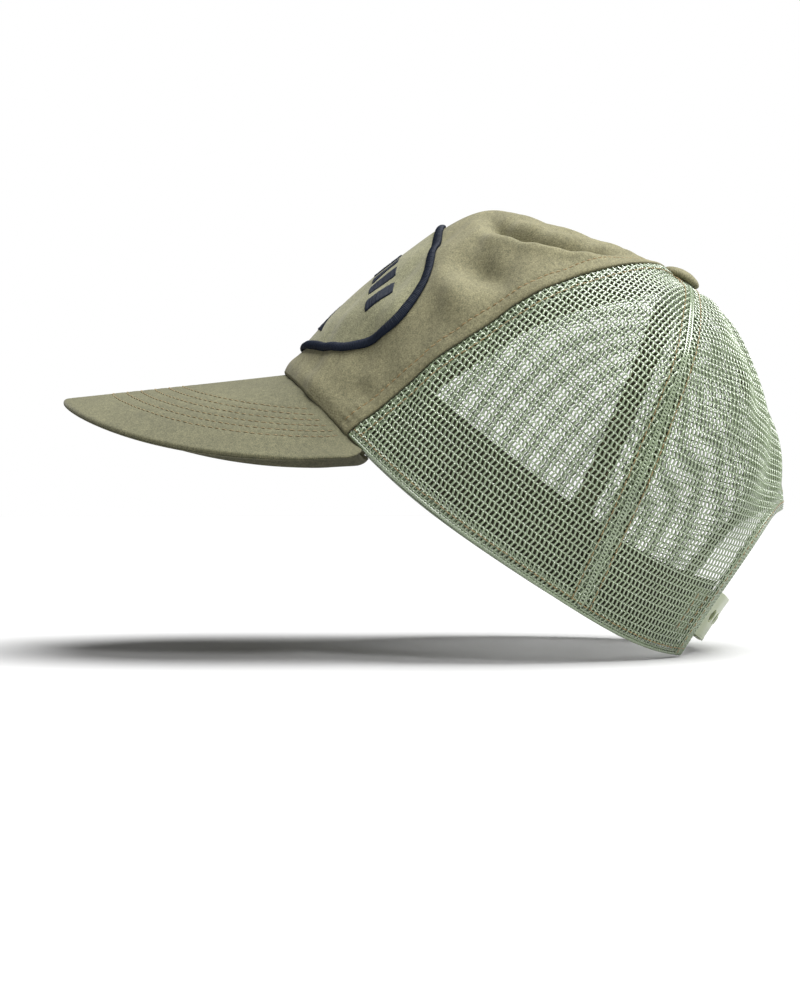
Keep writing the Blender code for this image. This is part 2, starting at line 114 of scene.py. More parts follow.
def through(knots, share):
    """Natural cubic along the last axis of knots, at share from 0 to 1."""
    count = knots.shape[-1]
    bends = knots @ bend_matrix(count).T
    place = share * (count - 1)
    low = np.clip(np.floor(place).astype(int), 0, count - 2)
    part = place - low

    def pick(values, index):
        return np.take_along_axis(values, index[..., None], -1)[..., 0]

    rest = 1 - part
    straight = rest * pick(knots, low) + part * pick(knots, low + 1)
    return (straight + (rest ** 3 - rest) / 6 * pick(bends, low)
            + (part ** 3 - part) / 6 * pick(bends, low + 1))


def waves(degrees, count):
    return np.cos(np.multiply.outer(np.radians(degrees), np.arange(count)))


def run_of(points):
    """Length along a line of points, from 0 at its first."""
    return np.r_[0, np.cumsum(np.linalg.norm(np.diff(points, axis=0), axis=1))]


def unit(vectors):
    return vectors / np.linalg.norm(vectors, axis=-1, keepdims=True)


def evenly(points, count):
    step = run_of(points)
    wanted = np.linspace(0, step[-1], count)
    return np.stack([np.interp(wanted, step, column) for column in points.T], -1)


def spline(points, count):
    points = np.asarray(points, float)
    share = np.linspace(0, 1, 40 * len(points))
    knots = np.broadcast_to(points.T[:, None, :], (points.shape[1], share.size, len(points)))
    return evenly(np.stack([through(k, share) for k in knots], -1), count)


REACH_WAVES = np.linalg.solve(waves(KEY_ANGLES, 5), np.array(REACH_KEYS, float))
HEIGHT_WAVES = np.linalg.solve(waves(KEY_ANGLES, 5), np.array(HEIGHT_KEYS, float))
EDGE_WAVES = np.linalg.solve(waves(EDGE_ANGLES, 7), np.array(EDGE_HEIGHTS, float))


def crown(angle, share):
    angle, share = np.broadcast_arrays(np.asarray(angle, float), np.asarray(share, float))
    reach = waves(angle, 5) @ REACH_WAVES
    height = (waves(angle, 5) @ HEIGHT_WAVES).copy()
    height[..., 0] = waves(angle, 7) @ EDGE_WAVES
    reach, height = through(reach, share), through(height, share)
    c, s = np.cos(np.radians(angle)), np.sin(np.radians(angle))
    plan = (np.abs(c) ** PLAN_POWER + np.abs(s) ** PLAN_POWER) ** (-1 / PLAN_POWER)
    side = CROWN_WIDTH / 2 * plan * s
    back = CROWN_LENGTH / 2 * (1 - plan * c)
    return np.stack([side * reach, APEX_AT + (back - APEX_AT) * reach, height], -1)


def normals(angle, share):
    round_way = crown(angle + 0.5, share) - crown(angle - 0.5, share)
    up_way = crown(angle, share + 0.004) - crown(angle, share - 0.004)
    return unit(np.cross(round_way, up_way))


def front_seam(share):
    return 51.5 + 33 * share


def side_seam(share):
    return 101 + 13.7 * (1 - share) ** 1.6


def back_seam(share):
    return 180 + 0 * share


def bump(x, middle, width):
    return np.exp(-((x - middle) / width) ** 2)


def rise(x, low, high):
    """Smooth step from 0 at low to 1 at high."""
    part = np.clip((x - low) / (high - low), 0, 1)
    return part * part * (3 - 2 * part)


dents = np.random.default_rng(23)
DENTS = [(dents.uniform(-62, 62), dents.uniform(0.05, 0.74), dents.uniform(3.5, 8),
          dents.uniform(0.016, 0.036), dents.uniform(-0.75, 0.65)) for _ in range(46)]


def drape(angle, share):
    """How far the soft crown stands in (-) or out (+) of its cut shape, in mm."""
    a, t = np.abs(angle), share
    side = np.sign(angle + 1e-9)
    worn = np.where(side > 0, 1.0, 0.62)       # the right side is crumpled less
    # Front panel: a valley behind the peak runs to the seam, with a fold on its near side.
    past = a - 28
    valley = 0.522 + 0.0012 * past + 0.00009 * past ** 2
    out = -7.5 * worn * bump(t, valley + 0.012, 0.040) * rise(a, 8, 32) * (1 - rise(a, 60, 70))
    out += 1.8 * worn * bump(t, valley - 0.062, 0.032) * rise(a, 24, 44) * (1 - rise(a, 62, 72))
    # Hollow and mound beside the patch, and a sunken place low down near the seam.
    out += -4.0 * worn * bump(t, 0.400, 0.036) * bump(a, 49, 9)
    out += 2.9 * worn * bump(t, 0.330 - 0.0016 * (a - 44), 0.034) * bump(a, 46, 10)
    out += -2.6 * bump(t, 0.125, 0.050) * bump(a, 43 + 2 * side, 9)
    out += -1.6 * bump(t, 0.070, 0.022) * bump(a, 48, 4)
    out += 0.9 * bump(t, 0.21, 0.04) * bump(a, 36, 12)
    crumple = 0.45 * np.sin(0.36 * a + 21 * t + side) + 0.40 * np.sin(0.23 * a - 34 * t + 1)
    crumple = crumple + 0.22 * np.sin(0.7 * a + 47 * t + 2 * side)
    for where, height, wide, tall, deep in DENTS:
        crumple = crumple + deep * bump(angle, where, wide) * bump(t, height, tall)
    out += crumple * (1 - rise(a, 60, 76)) * rise(a, 4, 30)
    # Shallow waves in the net.
    net = rise(a, 62, 84)
    out += net * 0.9 * np.sin(0.17 * a + 7 * t + side) * rise(t, 0.05, 0.3)
    out += net * 0.6 * np.sin(0.31 * a - 15 * t + 2 * side) * rise(t, 0.05, 0.3)
    return out * (1 - rise(t, 0.82, 0.93))


def cloth(angle, share, lift=0.0):
    """A point on the worn crown, lifted outwards from the cloth's face by lift mm."""
    angle, share = np.broadcast_arrays(np.asarray(angle, float), np.asarray(share, float))
    lift = np.asarray(lift) + drape(angle, share)
    return crown(angle, share) + normals(angle, share) * lift[..., None]


def degrees_for(length, angle, share):
    step = crown(angle + 0.5, share) - crown(angle - 0.5, share)
    return length / np.linalg.norm(step, axis=-1)


def beside(seam, length):
    return lambda share: seam(share) + degrees_for(length, seam(share), share)


def arch_limit(share, widen=0.0):
    """The back panel's last angle at a share of the way up; widen moves it off the arch."""
    half = ARCH_HALF + widen / MM_PER_DEGREE
    top = ARCH_TOP + widen / MM_PER_STEP
    inside = np.clip(1 - np.clip(share / top, 0, 1) ** ARCH_SIDE_POWER, 0, 1)
    return 180 - half * inside ** (1 / ARCH_TOP_POWER)


def arch_path(widen, count):
    turn = np.linspace(0, math.pi / 2, 300)
    half = ARCH_HALF + widen / MM_PER_DEGREE
    top = ARCH_TOP + widen / MM_PER_STEP
    path = np.stack([180 - half * np.cos(turn) ** (2 / ARCH_TOP_POWER),
                     top * np.sin(turn) ** (2 / ARCH_SIDE_POWER)], -1)
    step = run_of(crown(path[:, 0], path[:, 1]))
    wanted = np.linspace(0, step[-1], count)
    one = np.stack([np.interp(wanted, step, column) for column in path.T], -1)
    return np.concatenate([one, (one * (-1, 1) + (360, 0))[-2::-1]])


# --- meshes
def in_scene(name, data):
    made = bpy.data.objects.new(name, data)
    bpy.context.scene.collection.objects.link(made)
    return made


def facing_out(points, quads):
    """The faces of a closed shape, turned round if they face inwards."""
    a, b, c, d = (points[quads[:, k]] for k in range(4))
    inwards = np.sum(a * (np.cross(b, c) + np.cross(c, d))) < 0
    return quads[:, ::-1].copy() if inwards else quads


def new_piece(name, points, quads, material, slot, uv=None, replaces=()):
    """A piece from row-frame points in metres and four-cornered faces."""
    mesh = bpy.data.meshes.new(name)
    points = np.asarray(points, np.float32)
    quads = facing_out(points, np.asarray(quads, np.int32))
    mesh.vertices.add(len(points))
    mesh.vertices.foreach_set("co", points.ravel())
    mesh.loops.add(quads.size)
    mesh.loops.foreach_set("vertex_index", quads.ravel())
    mesh.polygons.add(len(quads))
    mesh.polygons.foreach_set("loop_start", np.arange(0, quads.size, 4, dtype=np.int32))
    mesh.polygons.foreach_set("use_smooth", np.ones(len(quads), bool))
    mesh.update(calc_edges=True)
    if uv is not None:
        layer = mesh.uv_layers.new(name="Cloth")
        layer.data.foreach_set("uv", np.asarray(uv, np.float32)[quads.ravel()].ravel())
    mesh.materials.append(material)
    made = in_scene(name, mesh)
    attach(made, "crown")
    if replaces:
        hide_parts(*replaces)


def slab_parts(outer, inner, ring=False):
    """Points and faces of the solid between two equal grids."""
    rows, columns = outer.shape[:2]
    index = np.arange(2 * rows * columns).reshape(2, rows, columns)
    if ring:
        index = np.concatenate([index, index[:, :, :1]], 2)
    a, b = index

    def quads(p, q, r, s):
        return np.stack([p, q, r, s], -1).reshape(-1, 4)

    faces = [quads(a[:-1, :-1], a[:-1, 1:], a[1:, 1:], a[1:, :-1]),
             quads(b[:-1, :-1], b[1:, :-1], b[1:, 1:], b[:-1, 1:]),
             quads(a[0, 1:], a[0, :-1], b[0, :-1], b[0, 1:]),
             quads(a[-1, :-1], a[-1, 1:], b[-1, 1:], b[-1, :-1])]
    if not ring:
        faces += [quads(a[:-1, 0], a[1:, 0], b[1:, 0], b[:-1, 0]),
                  quads(a[1:, -1], a[:-1, -1], b[:-1, -1], b[1:, -1])]
    points = np.concatenate([outer.reshape(-1, 3), inner.reshape(-1, 3)])
    return points, np.concatenate(faces)


def grid_uv(outer):
    """Cloth coordinates in mm: along the rows from the middle column, and up the columns."""
    across = np.linalg.norm(np.diff(outer, axis=1), axis=2)
    across = np.concatenate([np.zeros((len(outer), 1)), np.cumsum(across, 1)], 1)
    across -= across[:, across.shape[1] // 2][:, None]
    up = np.linalg.norm(np.diff(outer[:, outer.shape[1] // 2], axis=0), axis=1)
    up = np.r_[0, np.cumsum(up)][:, None] + 0 * across
    return np.stack([across, up], -1).reshape(-1, 2)


def slab(name, outer, inner, material, slot, **more):
    uv = np.tile(grid_uv(outer), (2, 1))
    laid(name, [slab_parts(outer, inner)], material, slot, uv=uv, **more)


TUBE_SIDES = 6


def tubes(paths, outs, wide, high):
    """Closed tubes along equal-length paths: (tubes, steps, 3) points and outward directions."""
    tangent = unit(np.gradient(paths, axis=1))
    across = unit(np.cross(tangent, outs))
    up = np.cross(across, tangent)
    turn = 2 * np.pi * (np.arange(TUBE_SIDES) + 0.5) / TUBE_SIDES
    wide = np.broadcast_to(np.asarray(wide, float), paths.shape[:2])[..., None, None]
    high = np.broadcast_to(np.asarray(high, float), paths.shape[:2])[..., None, None]
    rings = (paths[:, :, None] + across[:, :, None] * np.cos(turn)[:, None] * wide
             + up[:, :, None] * np.sin(turn)[:, None] * high)
    count, steps = paths.shape[:2]
    index = np.arange(rings.size // 3).reshape(count, steps, TUBE_SIDES)
    after = np.roll(index, -1, 2)
    sides = np.stack([index[:, :-1], index[:, 1:], after[:, 1:], after[:, :-1]], -1)
    faces = [sides.reshape(-1, 4)]
    for k in range(1, TUBE_SIDES - 2, 2):
        for ring, order in ((index[:, 0], (0, 1, 2, 3)), (index[:, -1], (0, 3, 2, 1))):
            cap = np.stack([ring[:, 0], ring[:, k], ring[:, k + 1], ring[:, k + 2]], -1)
            faces.append(cap[:, order])
    return rings.reshape(-1, 3), np.concatenate(faces)


def joined(parts):
    """Several (points, faces) as one."""
    points, faces, first = [], [], 0
    for some_points, some_faces in parts:
        points.append(some_points)
        faces.append(facing_out(some_points, some_faces) + first)
        first += len(some_points)
    return np.concatenate(points), np.concatenate(faces)


def laid(name, parts, material, slot, **more):
    """One piece from parts of (points, faces) in mm."""
    points, faces = joined(parts)
    new_piece(name, to_row(points), faces, material, slot, **more)


# --- materials
class Nodes:
    """Short calls for building one material's node tree."""

    def __init__(self, name):
        self.material = bpy.data.materials.new(name)
        self.material.use_nodes = True
        self.tree = self.material.node_tree
        self.shader = self.tree.nodes["Principled BSDF"]

    def feed(self, socket, value):
        if isinstance(value, bpy.types.NodeSocket):
            self.tree.links.new(value, socket)
        else:
            socket.default_value = value

    def add(self, kind, values=(), **settings):
        node = self.tree.nodes.new(kind)
        for key, value in settings.items():
            setattr(node, key, value)
        for key, value in dict(values).items():
            self.feed(node.inputs[key], value)
        return node

    def set(self, **values):
        for key, value in values.items():
            self.feed(self.shader.inputs[key.replace("_", " ")], value)

    def place(self):
        return self.add("ShaderNodeTexCoord").outputs["Object"]

    def cloth_place(self, turn=0.0):
        uv = self.add("ShaderNodeUVMap", uv_map="Cloth").outputs[0]
        return self.add("ShaderNodeMapping", {"Vector": uv, "Rotation": (0, 0, turn)}).outputs[0]

    def noise(self, vector, scale, detail=3.0, roughness=0.55):
        return self.add("ShaderNodeTexNoise", {"Vector": vector, "Scale": scale, "Detail": detail,
                                               "Roughness": roughness}).outputs["Fac"]

    def wave(self, vector, period, distortion):
        values = {"Vector": vector, "Scale": math.pi / 10 / period, "Distortion": distortion,
                  "Detail": 1.0, "Detail Scale": 2.0}
        return self.add("ShaderNodeTexWave", values, wave_profile="SIN").outputs["Fac"]

    def math(self, operation, a, b):
        return self.add("ShaderNodeMath", {0: a, 1: b}, operation=operation).outputs[0]

    def ramp(self, factor, stops):
        node = self.add("ShaderNodeValToRGB", {"Fac": factor})
        for k, (place, colour) in enumerate(stops):
            if k > 1:
                node.color_ramp.elements.new(place)
            node.color_ramp.elements[k].position = place
            node.color_ramp.elements[k].color = (*colour, 1)
        return node.outputs["Color"]

    def times(self, a, b):
        """Two colours multiplied."""
        return self.add("ShaderNodeMix", {0: 1.0, 6: a, 7: b}, data_type="RGBA",
                        blend_type="MULTIPLY").outputs[2]

    def spread(self, factor, low, high, start=0.0, end=1.0):
        return self.add("ShaderNodeMapRange", {"Value": factor, "From Min": start, "From Max": end,
                                               "To Min": low, "To Max": high}).outputs[0]

    def bump(self, height, strength, distance, under=None):
        values = {"Height": height, "Strength": strength, "Distance": distance * MM}
        if under is not None:
            values["Normal"] = under
        return self.add("ShaderNodeBump", values).outputs[0]


WASH = 0.14                # how much the twills fade and darken in patches


def shade(colour, factor):
    return tuple(c * factor for c in colour)


def twill(name, colour, turn=0.9, rib=0.52, sheen=0.12):
    """Cotton twill: diagonal ribs crossed by finer threads, slubs, and a faint washed look."""
    n = Nodes(name)
    place = n.place()
    ribs = n.wave(n.cloth_place(turn), rib, 0.6)
    threads = n.wave(n.cloth_place(0.0), rib * 0.62, 0.4)
    weave = n.math("MULTIPLY", ribs, n.math("ADD", n.math("MULTIPLY", threads, 0.35), 0.65))
    slub = n.noise(place, 1900, 2.0)
    mottle = n.noise(place, 520, 3.0, 0.6)
    patches = n.noise(place, 38, 5.0, 0.6)
    washed = n.ramp(patches, [(0.30, shade(colour, 1 - WASH)), (0.52, colour),
                              (0.74, shade(colour, 1 + WASH))])
    fibre = n.ramp(slub, [(0.30, (0.60, 0.61, 0.60)), (0.70, (1.32, 1.30, 1.25))])
    cloudy = n.ramp(mottle, [(0.32, (0.84, 0.85, 0.84)), (0.68, (1.15, 1.14, 1.13))])
    toned = n.times(n.times(washed, cloudy), fibre)
    ribbed = n.ramp(weave, [(0.0, (0.84, 0.84, 0.83)), (0.75, (1.06, 1.06, 1.06))])
    n.set(Base_Color=n.times(toned, ribbed))
    soft = n.bump(patches, 0.25, 0.6)
    n.set(Normal=n.bump(n.math("ADD", weave, n.math("MULTIPLY", slub, 0.5)), 0.5, 0.12, soft))
    n.set(Roughness=n.spread(patches, 0.82, 0.96), Specular_IOR_Level=0.25)
    n.set(Sheen_Weight=sheen, Sheen_Roughness=0.45, Sheen_Tint=(*shade((1, 0.97, 0.88), 0.9), 1))
    return n.material


def yarn(name, colour, rough, specular, coat=0.0):
    """Shiny filament yarn, with fine streaks along and across it."""
    n = Nodes(name)
    place = n.place()
    streak = n.noise(place, 1500, 2.0)
    batch = n.noise(place, 45, 3.0)
    tone = n.ramp(batch, [(0.3, shade(colour, 0.90)), (0.7, shade(colour, 1.10))])
    fibre = n.ramp(streak, [(0.3, (0.82, 0.83, 0.80)), (0.7, (1.12, 1.12, 1.12))])
    n.set(Base_Color=n.times(tone, fibre))
    n.set(Normal=n.bump(streak, 0.35, 0.10))
    n.set(Roughness=n.spread(streak, rough - 0.05, rough + 0.12, 0.3, 0.7),
          Specular_IOR_Level=specular, Coat_Weight=coat, Coat_Roughness=0.16)
    return n.material


def plastic(name, colour):
    """Soft see-through snap plastic with fine moulding grain."""
    n = Nodes(name)
    place = n.place()
    grain = n.noise(place, 1200, 2.0)
    cloud = n.noise(place, 60, 3.0)
    n.set(Base_Color=n.ramp(cloud, [(0.3, shade(colour, 0.92)), (0.7, shade(colour, 1.06))]))
    n.set(Normal=n.bump(grain, 0.15, 0.05))
    n.set(Roughness=n.spread(grain, 0.26, 0.42), Subsurface_Weight=0.45, Subsurface_Scale=0.004,
          Subsurface_Radius=(1.0, 1.0, 0.7), Coat_Weight=0.15, Coat_Roughness=0.3)
    return n.material


def worn_coat(name, colour):
    """A dull coat with paler worn specks: paint on the rivet, and the board's pressed fibre."""
    n = Nodes(name)
    place = n.place()
    wear = n.noise(place, 400, 4.0, 0.7)
    n.set(Base_Color=n.ramp(wear, [(0.45, colour), (0.72, (0.32, 0.31, 0.28))]))
    n.set(Normal=n.bump(n.noise(place, 1500), 0.1, 0.05))
    n.set(Roughness=n.spread(wear, 0.35, 0.6))
    return n.material


bpy.context.scene.view_settings.view_transform = "Standard"
rng = np.random.default_rng(11)
OLIVE = (0.186, 0.175, 0.105)
BRIM_OLIVE = (0.113, 0.110, 0.066)
front_twill = twill("olive_twill", OLIVE)
brim_twill = twill("brim_twill", BRIM_OLIVE, turn=-0.85)
# The brim's underside and root edge: the top cover's own twill, darkened to 0.85 as painted shade
# under the brim.
under_twill_painted_shade = twill("brim_under_twill", shade(BRIM_OLIVE, 0.85), turn=0.85)
lining_cloth = twill("lining_cloth", (0.12, 0.115, 0.075), turn=0.0, rib=0.6)
# Seam tapes and arch binding: dark olive tape, darkened past its own colour as painted shade inside
# the crown, seen through the net.
tape_cloth_painted_shade = twill("tape_cloth_painted_shade", (0.085, 0.085, 0.052), turn=0.8, rib=0.6)
# Sweatband: its cloth darkened nearly to black as painted shade inside the crown, so the net's holes
# look dark over it.
band_cloth_painted_shade = twill("sweatband_cloth", (0.065, 0.064, 0.042), turn=0.75, rib=0.6, sheen=0.15)
patch_cloth = twill("patch_twill", (0.200, 0.198, 0.124), turn=-0.6, rib=0.6)
net_yarn = yarn("net_yarn", (0.225, 0.285, 0.170), rough=0.18, specular=1.0, coat=1.0)
tan_thread = yarn("tan_thread", (0.26, 0.18, 0.080), rough=0.5, specular=0.35)
olive_thread = yarn("olive_thread", (0.24, 0.185, 0.098), rough=0.55, specular=0.3)
navy_thread = yarn("navy_thread", (0.006, 0.010, 0.021), rough=0.6, specular=0.15)
strap_plastic = plastic("strap_plastic", (0.29, 0.335, 0.20))
board_fibre = worn_coat("board_fibre", (0.08, 0.08, 0.07))
rivet_paint = worn_coat("rivet_paint", (0.17, 0.16, 0.10))

# --- ways along the cloth
class Way:
    """A line on a surface: s mm along it and w mm off it give a place on that surface."""

    def __init__(self, place, run, surface=cloth):
        self.place, self.run, self.surface = place, run, surface

    def at(self, s, w, lift):
        s, w = np.broadcast_arrays(np.asarray(s, float), np.asarray(w, float))
        return self.surface(*self.place(s, w), lift)

    def with_out(self, s, w, lift):
        points = self.at(s, w, lift)
        return points, unit(self.at(s, w, np.asarray(lift) + 0.5) - points)


def seam_way(seam, low, high, side=1):
    shares = np.linspace(low, high, 400)
    run = run_of(crown(seam(shares), shares))

    def place(s, w):
        share = np.interp(s, run, shares)
        middle = seam(share)
        return side * (middle + degrees_for(1.0, middle, share) * w), share

    return Way(place, run[-1])


def row_way(ways, run, surface=cloth, step=HEM_STEP):
    """Along a level row: run is the length at each of ways, and w goes up across the row."""
    return Way(lambda s, w: (np.interp(s, run, ways), w / step), run[-1], surface)


def hem_way(first, last):
    angles = np.linspace(first, last, 500)
    return row_way(angles, run_of(crown(angles, 0 * angles)))


def arch_way(low=0.0):
    """Round the rear arch from left to right; w goes outwards from the opening."""
    near, far = arch_path(0, 300), arch_path(ARCH_BAND, 300)
    keep = near[:, 1] >= low
    near, far = near[keep], far[keep]
    run = run_of(crown(near[:, 0], near[:, 1]))

    def place(s, w):
        line = [[np.interp(s, run, path[:, k]) for path in (near, far)] for k in (0, 1)]
        return [a + (b - a) * w / ARCH_BAND for a, b in line]

    return Way(place, run[-1])


STITCH_PITCH, STITCH_LENGTH = 2.7, 2.25
STITCH_LIFT = 0.12         # a row of stitches over the face that it is sewn through


def stitches(way, w, lift, radius=0.2, margin=0.0):
    """One row of separate stitches, each sinking into the cloth at its two ends."""
    sewn = way.run - 2 * margin
    count = max(int(sewn / STITCH_PITCH), 1)
    middle = margin + (np.arange(count) + 0.5) * sewn / count
    part = np.linspace(-0.5, 0.5, 6)
    middle = middle + rng.normal(0, 0.06, count)
    off = w + rng.normal(0, 0.07, count)[:, None] + rng.normal(0, 0.09, count)[:, None] * part
    arc = np.cos(part * math.pi) ** 0.6
    along = middle[:, None] + part * STITCH_LENGTH
    paths, outs = way.with_out(along, off, lift - 0.22 + 0.3 * arc)
    thick = radius * (0.55 + 0.45 * arc)
    return tubes(paths, outs, thick[None, :], thick[None, :] * 0.85)


def crown_slab(name, first, last, low, high, shape, outer, inner, material, side=1, **more):
    """Cloth between two lines on the crown; outer and inner are lifts or f(across, up)."""
    up = np.linspace(low, high, shape[0])[:, None]
    across = np.linspace(0, 1, shape[1])[None, :]
    angle = first(up) + (last(up) - first(up)) * across
    part = (up - low) / (high - low) + 0 * across
    lifts = [f(across + 0 * part, part) if callable(f) else f + 0 * part for f in (outer, inner)]
    slab(name, cloth(side * angle, up, lifts[0]), cloth(side * angle, up, lifts[1]),
         material, **more)


# --- front panel
CLOTH = 0.9                # thickness of the panels' cloth
FOLD_LAP, FOLD_ROUND = 0.7, 1.3    # the twill's folded edge over the net, and how it rounds off
TOPSTITCH = 5.0            # from the seam to the row of stitches on the twill
GROOVE, PUCKER = -0.30, 0.14
ROLL, ROLL_AT, ROLL_WIDTH = 1.3, 3.5, 4.6      # the soft roll along the bottom edge
TURNED_UNDER = 1.9         # cloth carried on down past the bottom edge
LINING_GAP = 6.5           # from the seam to the lining's edge
UNDER_CLOTH = -1.4         # the lift at which the lining and tapes meet the panels


def front_lift(angle, share):
    """Relief of the front panel over the crown: folded edge, stitch rows and bottom roll."""
    a = np.abs(angle)
    edge = (front_seam(share) - a) / degrees_for(1.0, a, share)
    lap = FOLD_LAP * np.sqrt(np.clip(edge / FOLD_ROUND, 0, 1))
    groove = GROOVE * bump(edge, TOPSTITCH, 0.5)
    pucker = PUCKER * np.sin(share * 420) * bump(edge, TOPSTITCH, 3.0)
    roll = ROLL * bump(share * HEM_STEP, ROLL_AT, ROLL_WIDTH) * rise(edge, 0, 12)
    return lap + groove + pucker + roll


def on_panel(angle, share, lift):
    """A point over the front panel's face."""
    return cloth(angle, share, lift + front_lift(angle, share))


def front_panel():
    under = np.linspace(-1, 0, 9)[:-1] * TURNED_UNDER / HEM_STEP
    low, high = np.linspace(0, 0.05, 20), np.linspace(0.05, TOP, 170)
    steps = np.concatenate([under, low, high[1:]])[:, None]
    up = np.maximum(steps, 0)
    below = np.maximum(-steps * HEM_STEP, 0)
    across = np.linspace(-1, 1, 221)
    across = (np.sign(across) * (1 - (1 - np.abs(across)) ** 1.25))[None, :]
    edge = front_seam(up) - degrees_for(0.2, front_seam(up), up)
    angle = edge * across
    sink = np.stack([0 * below, 0 * below, below], -1)
    tuck = 0.9 * below ** 2
    outer = on_panel(angle, up, -tuck) - sink
    inner = cloth(angle, up, -CLOTH - tuck * 0.8 + 0 * angle) - sink
    slab("front_panel_twill", outer, inner, front_twill, slot="olive_twill",
         replaces=["front_panel"])
    rows = []
    for side, _ in SIDES:
        way = seam_way(front_seam, 0.012, 0.93, side)
        way.surface = on_panel
        rows.append(stitches(way, -TOPSTITCH, STITCH_LIFT))
    laid("front_topstitch", rows, tan_thread, "olive_twill")


def lining():
    line = beside(front_seam, -LINING_GAP)

    def ripple(across, up):
        return UNDER_CLOTH + 0.12 * np.sin(across * 60) * np.sin(up * 25)

    crown_slab("front_lining_cloth", lambda t: -line(t), line, 0.012, 0.9, (60, 90), ripple,
               -2.0, lining_cloth, slot="seam_tape", replaces=["front_lining"])


# --- net
NET_PITCH, NET_ROW = 1.83, 2.4     # holes along a bar, and bar to bar
BAR, STRUT = (0.36, 0.26), (0.46, 0.31)        # half widths and half heights of the yarns
BAR_LIFT, STRUT_LIFT = -0.38, -0.34
BAR_SAG = 0.07             # how far a strut pulls the bar that it meets
KNOT = 0.22                # how much thicker a bar is where a strut meets it, as a share
LEAN = 0.27                # how far each strut leans, as a share of the pitch
STRUT_BOW, STRUT_MARGIN = 0.12, 0.3
FIRST_BAR = 1.2            # from the bottom edge to the net's first bar
NET_SPREAD = 48            # degrees that the bars are laid to each side of a panel's middle
FEWEST = 12                # a bar needs more points than this to be kept
LAYER = 0.62               # from the net's outer layer to the layer folded under it
HEM_ANGLES = (52.2, 149.6)


def net_rows(left, right, middle):
    """Each bar as (angles, shares).  Bars are straight in the cut cloth, so they drop away
    from the panel's middle where the crown is a dome."""
    spread = middle + np.linspace(-NET_SPREAD, NET_SPREAD, 700)
    away = np.radians(spread - middle)
    table = np.linspace(0, TOP, 500)
    run = run_of(crown(np.full(500, middle), table))
    rows = []
    for start in np.arange(FIRST_BAR, run[-1] + 12, NET_ROW):
        base = np.interp(start, run, table) + max(start - run[-1], 0) / 400
        slope = math.tan(min(base, 0.99) * math.pi / 2)
        dome = np.arctan(slope * np.cos(away)) / (math.pi / 2)
        weight = rise(base, 0.15, 0.75)
        share = base * (1 - weight) + dome * weight
        keep = np.flatnonzero((spread > left(share)) & (spread < right(share)) & (share < TOP))
        gap = np.flatnonzero(np.diff(keep) > 1)
        keep = keep[:gap[0] + 1] if len(gap) else keep
        if len(keep) > FEWEST:
            rows.append((spread[keep], share[keep]))
    return rows


def net_bar(angles, shares, run, k, side):
    """Bar k: pushed up and down by the struts that meet it, and thicker at its knots."""
    half = NET_PITCH / 2
    step = np.arange(math.ceil(run[0] / half), math.floor(run[-1] / half) + 1)
    s = np.unique(np.r_[run[0], step * half, run[-1]])
    push = np.r_[0, np.where((step + k) % 2 == 0, 1, -1), 0] * BAR_SAG / HEM_STEP
    index = np.arange(len(s))
    fine = np.linspace(0, len(s) - 1, 2 * len(s) - 1)
    s, push = (np.interp(fine, index, values) for values in (s, push[:len(s)]))
    a = np.interp(s, run, angles) * side
    t = np.interp(s, run, shares) + push
    knot = 1 + KNOT * np.cos(2 * math.pi * (s / NET_PITCH - LEAN * (k % 2)))[None]
    return tubes(cloth(a, t, BAR_LIFT)[None], normals(a, t)[None], BAR[0] * knot, BAR[1] * knot)


def net_struts(low, high, k, side):
    """The struts from bar k to the next one."""
    begin = max(low[2][0], high[2][0]) + STRUT_MARGIN
    finish = min(low[2][-1], high[2][-1]) - STRUT_MARGIN
    step = np.arange(math.ceil(begin / NET_PITCH) - 1, math.floor(finish / NET_PITCH) + 2)
    feet = [(step + LEAN * ((k + up) % 2)) * NET_PITCH for up in (0, 1)]
    keep = (np.minimum(*feet) > begin) & (np.maximum(*feet) < finish)
    if not keep.any():
        return []
    part = np.array([0.0, 0.3, 0.7, 1.0])
    places = []
    for kind in (0, 1):
        start, end = (np.interp(foot[keep], line[2], line[kind])[:, None]
                      for line, foot in zip((low, high), feet))
        places.append(start * (1 - part) + end * part)
    a, t = places
    paths = cloth(side * a, t, STRUT_LIFT + STRUT_BOW * np.sin(part * math.pi) + 0 * a)
    thick = np.array([1.0, 0.95, 0.95, 1.0])[None, :]
    return [tubes(paths, normals(side * a, t), STRUT[0] * thick, STRUT[1] * thick)]


def net_mesh(left, right, middle, side):
    """Knitted net between two lines: bars of thick yarn, with staggered struts between them."""
    lines = []
    for angles, shares in net_rows(left, right, middle):
        run = run_of(crown(angles, shares))
        lines.append((angles, shares, run - np.interp(middle, angles, run)))
    parts = [net_bar(*line, k, side) for k, line in enumerate(lines)]
    for k, (low, high) in enumerate(zip(lines, lines[1:])):
        parts += net_struts(low, high, k, side)
    return parts


def band_mesh(way, rows, depth, pitch=NET_PITCH):
    """Net laid along a way: bars at the distances in rows, with struts between them."""
    parts = []
    lift = BAR_LIFT - depth
    s = np.arange(0, way.run, pitch / 2)
    for k, w in enumerate(rows):
        wave = 0.2 * np.where((np.arange(len(s)) + k) % 2 == 0, 1, -1)
        paths, outs = way.with_out(s, w + wave, lift)
        parts.append(tubes(paths[None], outs[None], *BAR))
    part = np.array([0.02, 0.5, 0.98])
    for k in range(len(rows) - 1):
        base = s[k % 2::2]
        w = rows[k] + (rows[k + 1] - rows[k]) * part
        paths, outs = way.with_out(base[:, None] + 0 * w, w + 0 * base[:, None], lift - 0.1)
        parts.append(tubes(paths, outs, *STRUT))
    return parts


